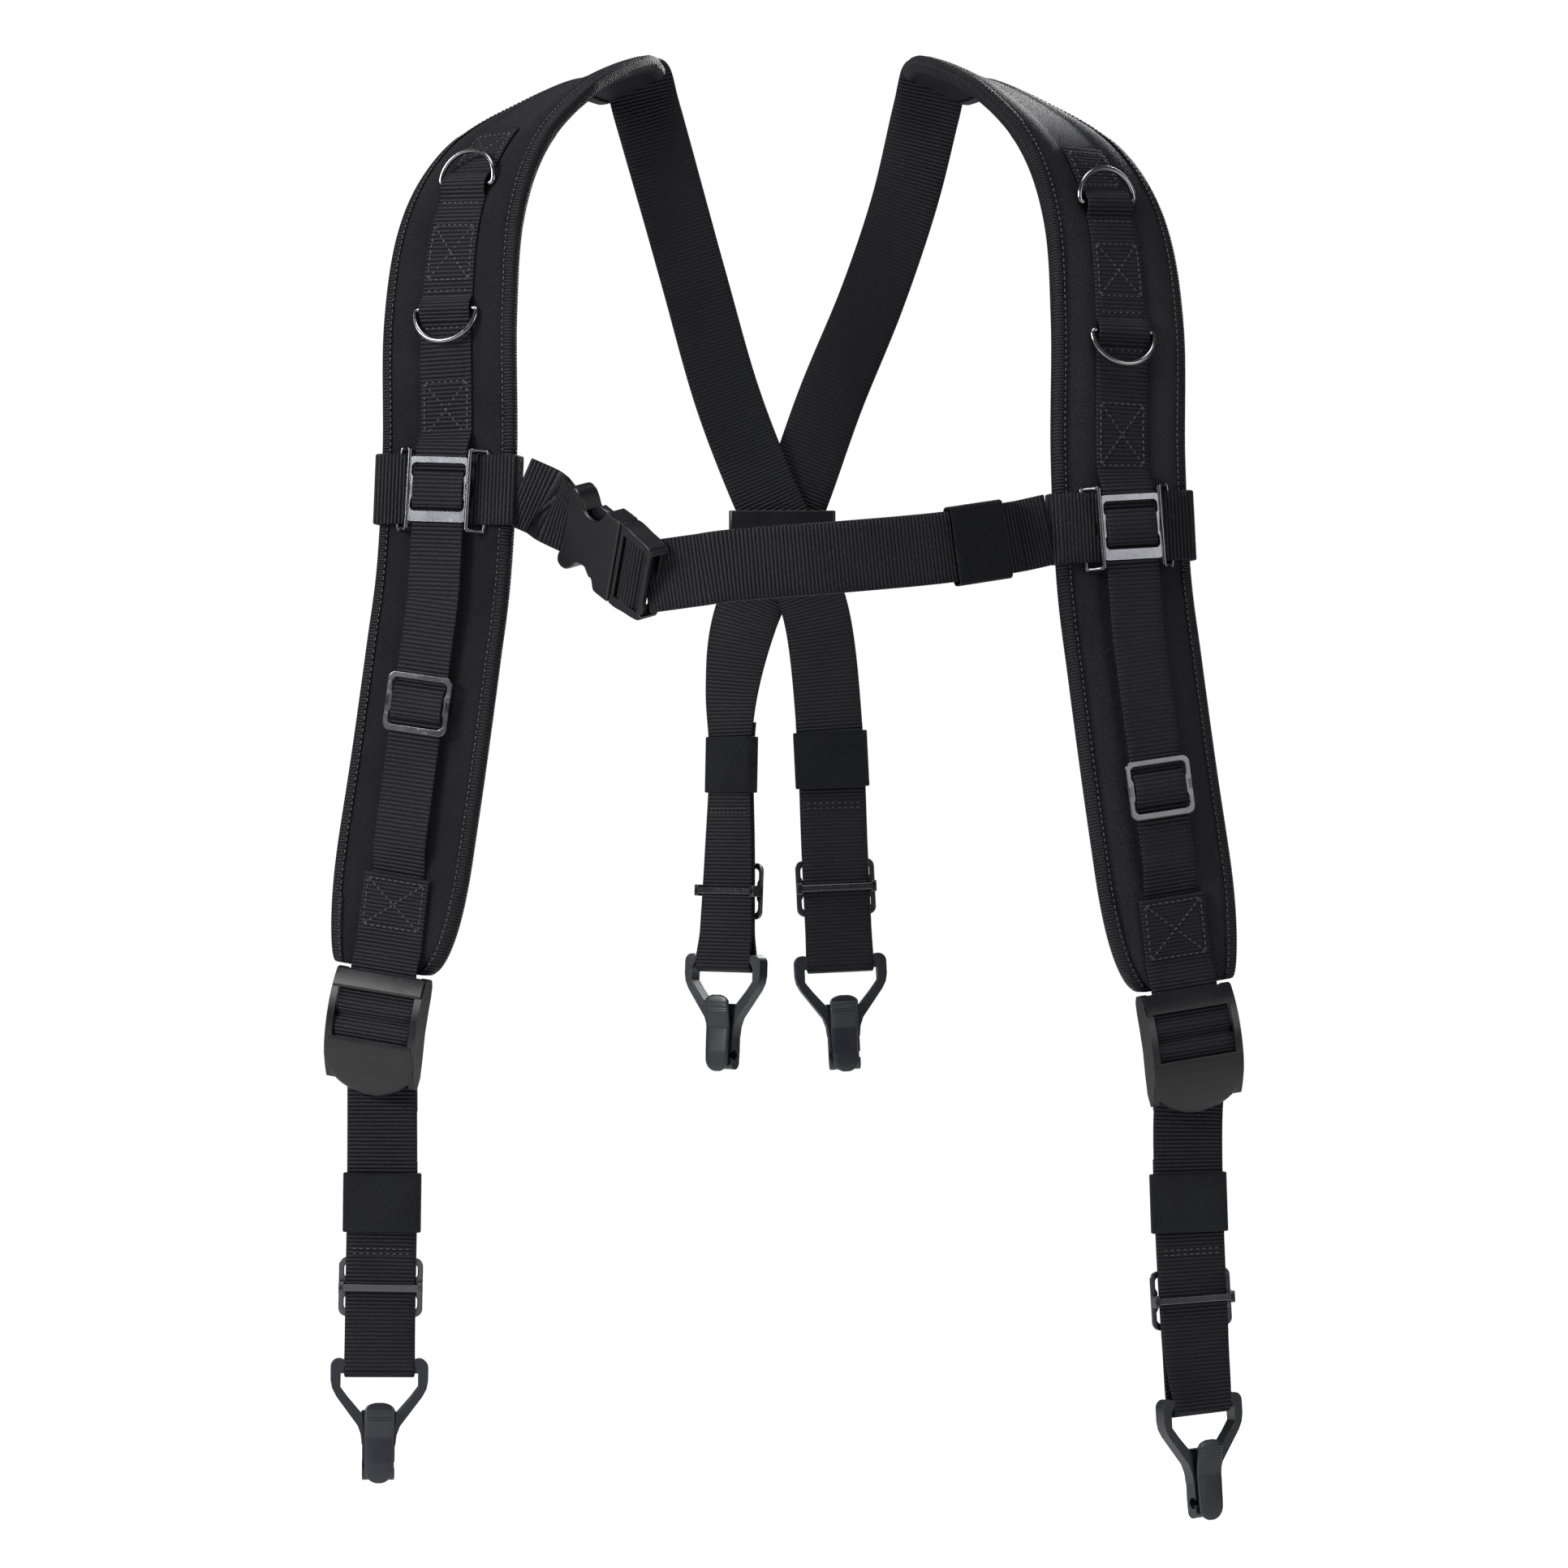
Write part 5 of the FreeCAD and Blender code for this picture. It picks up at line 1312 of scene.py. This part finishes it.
def stitch_shape():
    """One stitch of unit half sizes: rings of six points between two poles, along x."""
    points, ring = [(-1.0, 0.0, 0.0)], np.linspace(0, 2 * np.pi, 6, endpoint=False)
    for x in (-0.6, 0.0, 0.6):
        r = math.sqrt(1 - x * x)
        points += [(x, r * math.cos(a), r * math.sin(a)) for a in ring]
    points.append((1.0, 0.0, 0.0))
    faces = [[0, 1 + (k + 1) % 6, 1 + k] for k in range(6)]
    for row in (1, 7):
        faces += [[row + k, row + (k + 1) % 6, row + 6 + (k + 1) % 6, row + 6 + k] for k in range(6)]
    faces += [[13 + k, 13 + (k + 1) % 6, 19] for k in range(6)]
    return np.array(points), faces


def stitches(lines):
    """Points and faces of the stitches along several lines, each of (points, normals) in millimetres."""
    shape, shape_faces = stitch_shape()
    points = []
    for path, normals in lines:
        run = np.concatenate([[0], np.cumsum(np.linalg.norm(np.diff(path, axis=0), axis=1))])
        count = max(2, int(run[-1] / STITCH_PITCH))
        at = (np.arange(count) + 0.5) * run[-1] / count
        middle, ahead, up = (np.stack([np.interp(at + shift, run, part[:, k]) for k in range(3)], 1)
                             for part, shift in ((path, 0), (path, 0.8), (normals, 0)))
        ahead = unit(ahead - middle + 1e-9)
        side_on = unit(np.cross(up, ahead))
        up = np.cross(ahead, side_on)
        axes = np.stack([ahead, side_on, up], 1) * np.array(STITCH_HALF)[:, None]
        points.append(middle[:, None] + shape @ axes)
    points = np.concatenate(points).reshape(-1, 3)
    starts = range(0, len(points), len(shape))
    return points, [[i + start for i in face] for start in starts for face in shape_faces]


def sewn_piece(name, body, lines):
    """A piece of stitches that goes along with a body."""
    return finish_piece(mesh_piece(name, *stitches(lines)), body, THREAD, "binding")


def laid(route, u, z, lift):
    """A line on a strap's face from places across it and heights down it."""
    t = np.linspace(1, len(route) - 1, 600)
    t = np.interp(-np.asarray(z, float), -spline(route, t)[:, 2], t)
    centre, across, outward, _ = spots(route, t)
    return centre + across * np.reshape(u, (-1, 1)) + outward * lift, outward


def box_cross(route, half, top, bottom, lift):
    """Four sides and two diagonals of a sewn box."""
    corners = [(-half, top), (half, top), (half, bottom), (-half, bottom), (-half, top)]
    pairs = list(zip(corners, corners[1:])) + [(corners[0], corners[2]), (corners[1], corners[3])]
    return [laid(route, np.linspace(a[0], b[0], 12), np.linspace(a[1], b[1], 12), lift) for a, b in pairs]


SEWN_BOXES = {"left": ((-51, -68), (-100, -129), (-184, -214)),
              "right": ((-61, -79), (-110, -138), (-196, -229))}
ANCHOR_BOX = {"left": (-452, -477), "right": (-463, -492)}
for side in SIDES:
    route = pad_route(side)
    lines = []
    t = np.linspace(0.2, len(route) - 1.05, 260)
    for which in (0, 1):
        reach = pad_halves(side, t)[which]
        u = reach - BINDING_REACH + 1.7
        lift = np.array([face_height(a, b) for a, b in zip(u, reach)]) + 1.05
        centre, across, outward, _ = spots(route, t)
        flip = 1 if which else -1
        lines.append((centre + across * (flip * u)[:, None] + outward * lift[:, None], outward))
    web_top = SEWN_WEB + PAD_WEB_THICK / 2 + 0.1
    for top, bottom in SEWN_BOXES[side]:
        lines += box_cross(route, PAD_WEB / 2 - 2.6, top, bottom, web_top)
    for ring_z in RING_Z[side]:
        for z in (ring_z + 10, ring_z - 10):
            lines.append(laid(route, np.linspace(-12.4, 12.4, 9), np.full(9, z), web_top))
    anchor_top = FACE + 2 * SEWN + PAD_WEB_THICK + WEB_THICK + 0.1
    lines += box_cross(route, WEB / 2 - 3.0, *ANCHOR_BOX[side], anchor_top)
    sewn_piece("pad_stitches_" + side, "harness", lines)
    strap_top = SINGLE + WEB_THICK / 2 + 0.1
    lower = (("front", FRONT_ROUTE[side], "front_strap_" + side), ("rear", REAR_ROUTE[side], "harness"))
    for kind, strap_route, body in lower:
        height = KEEPER_Z[kind][side] - KEEPER_HEIGHT / 2 - 9
        rows = [laid(strap_route, np.linspace(-16, 16, 9), np.full(9, height - drop), strap_top)
                for drop in (0, 2.6)]
        sewn_piece("%s_strap_stitches_%s" % (kind, side), body, rows)
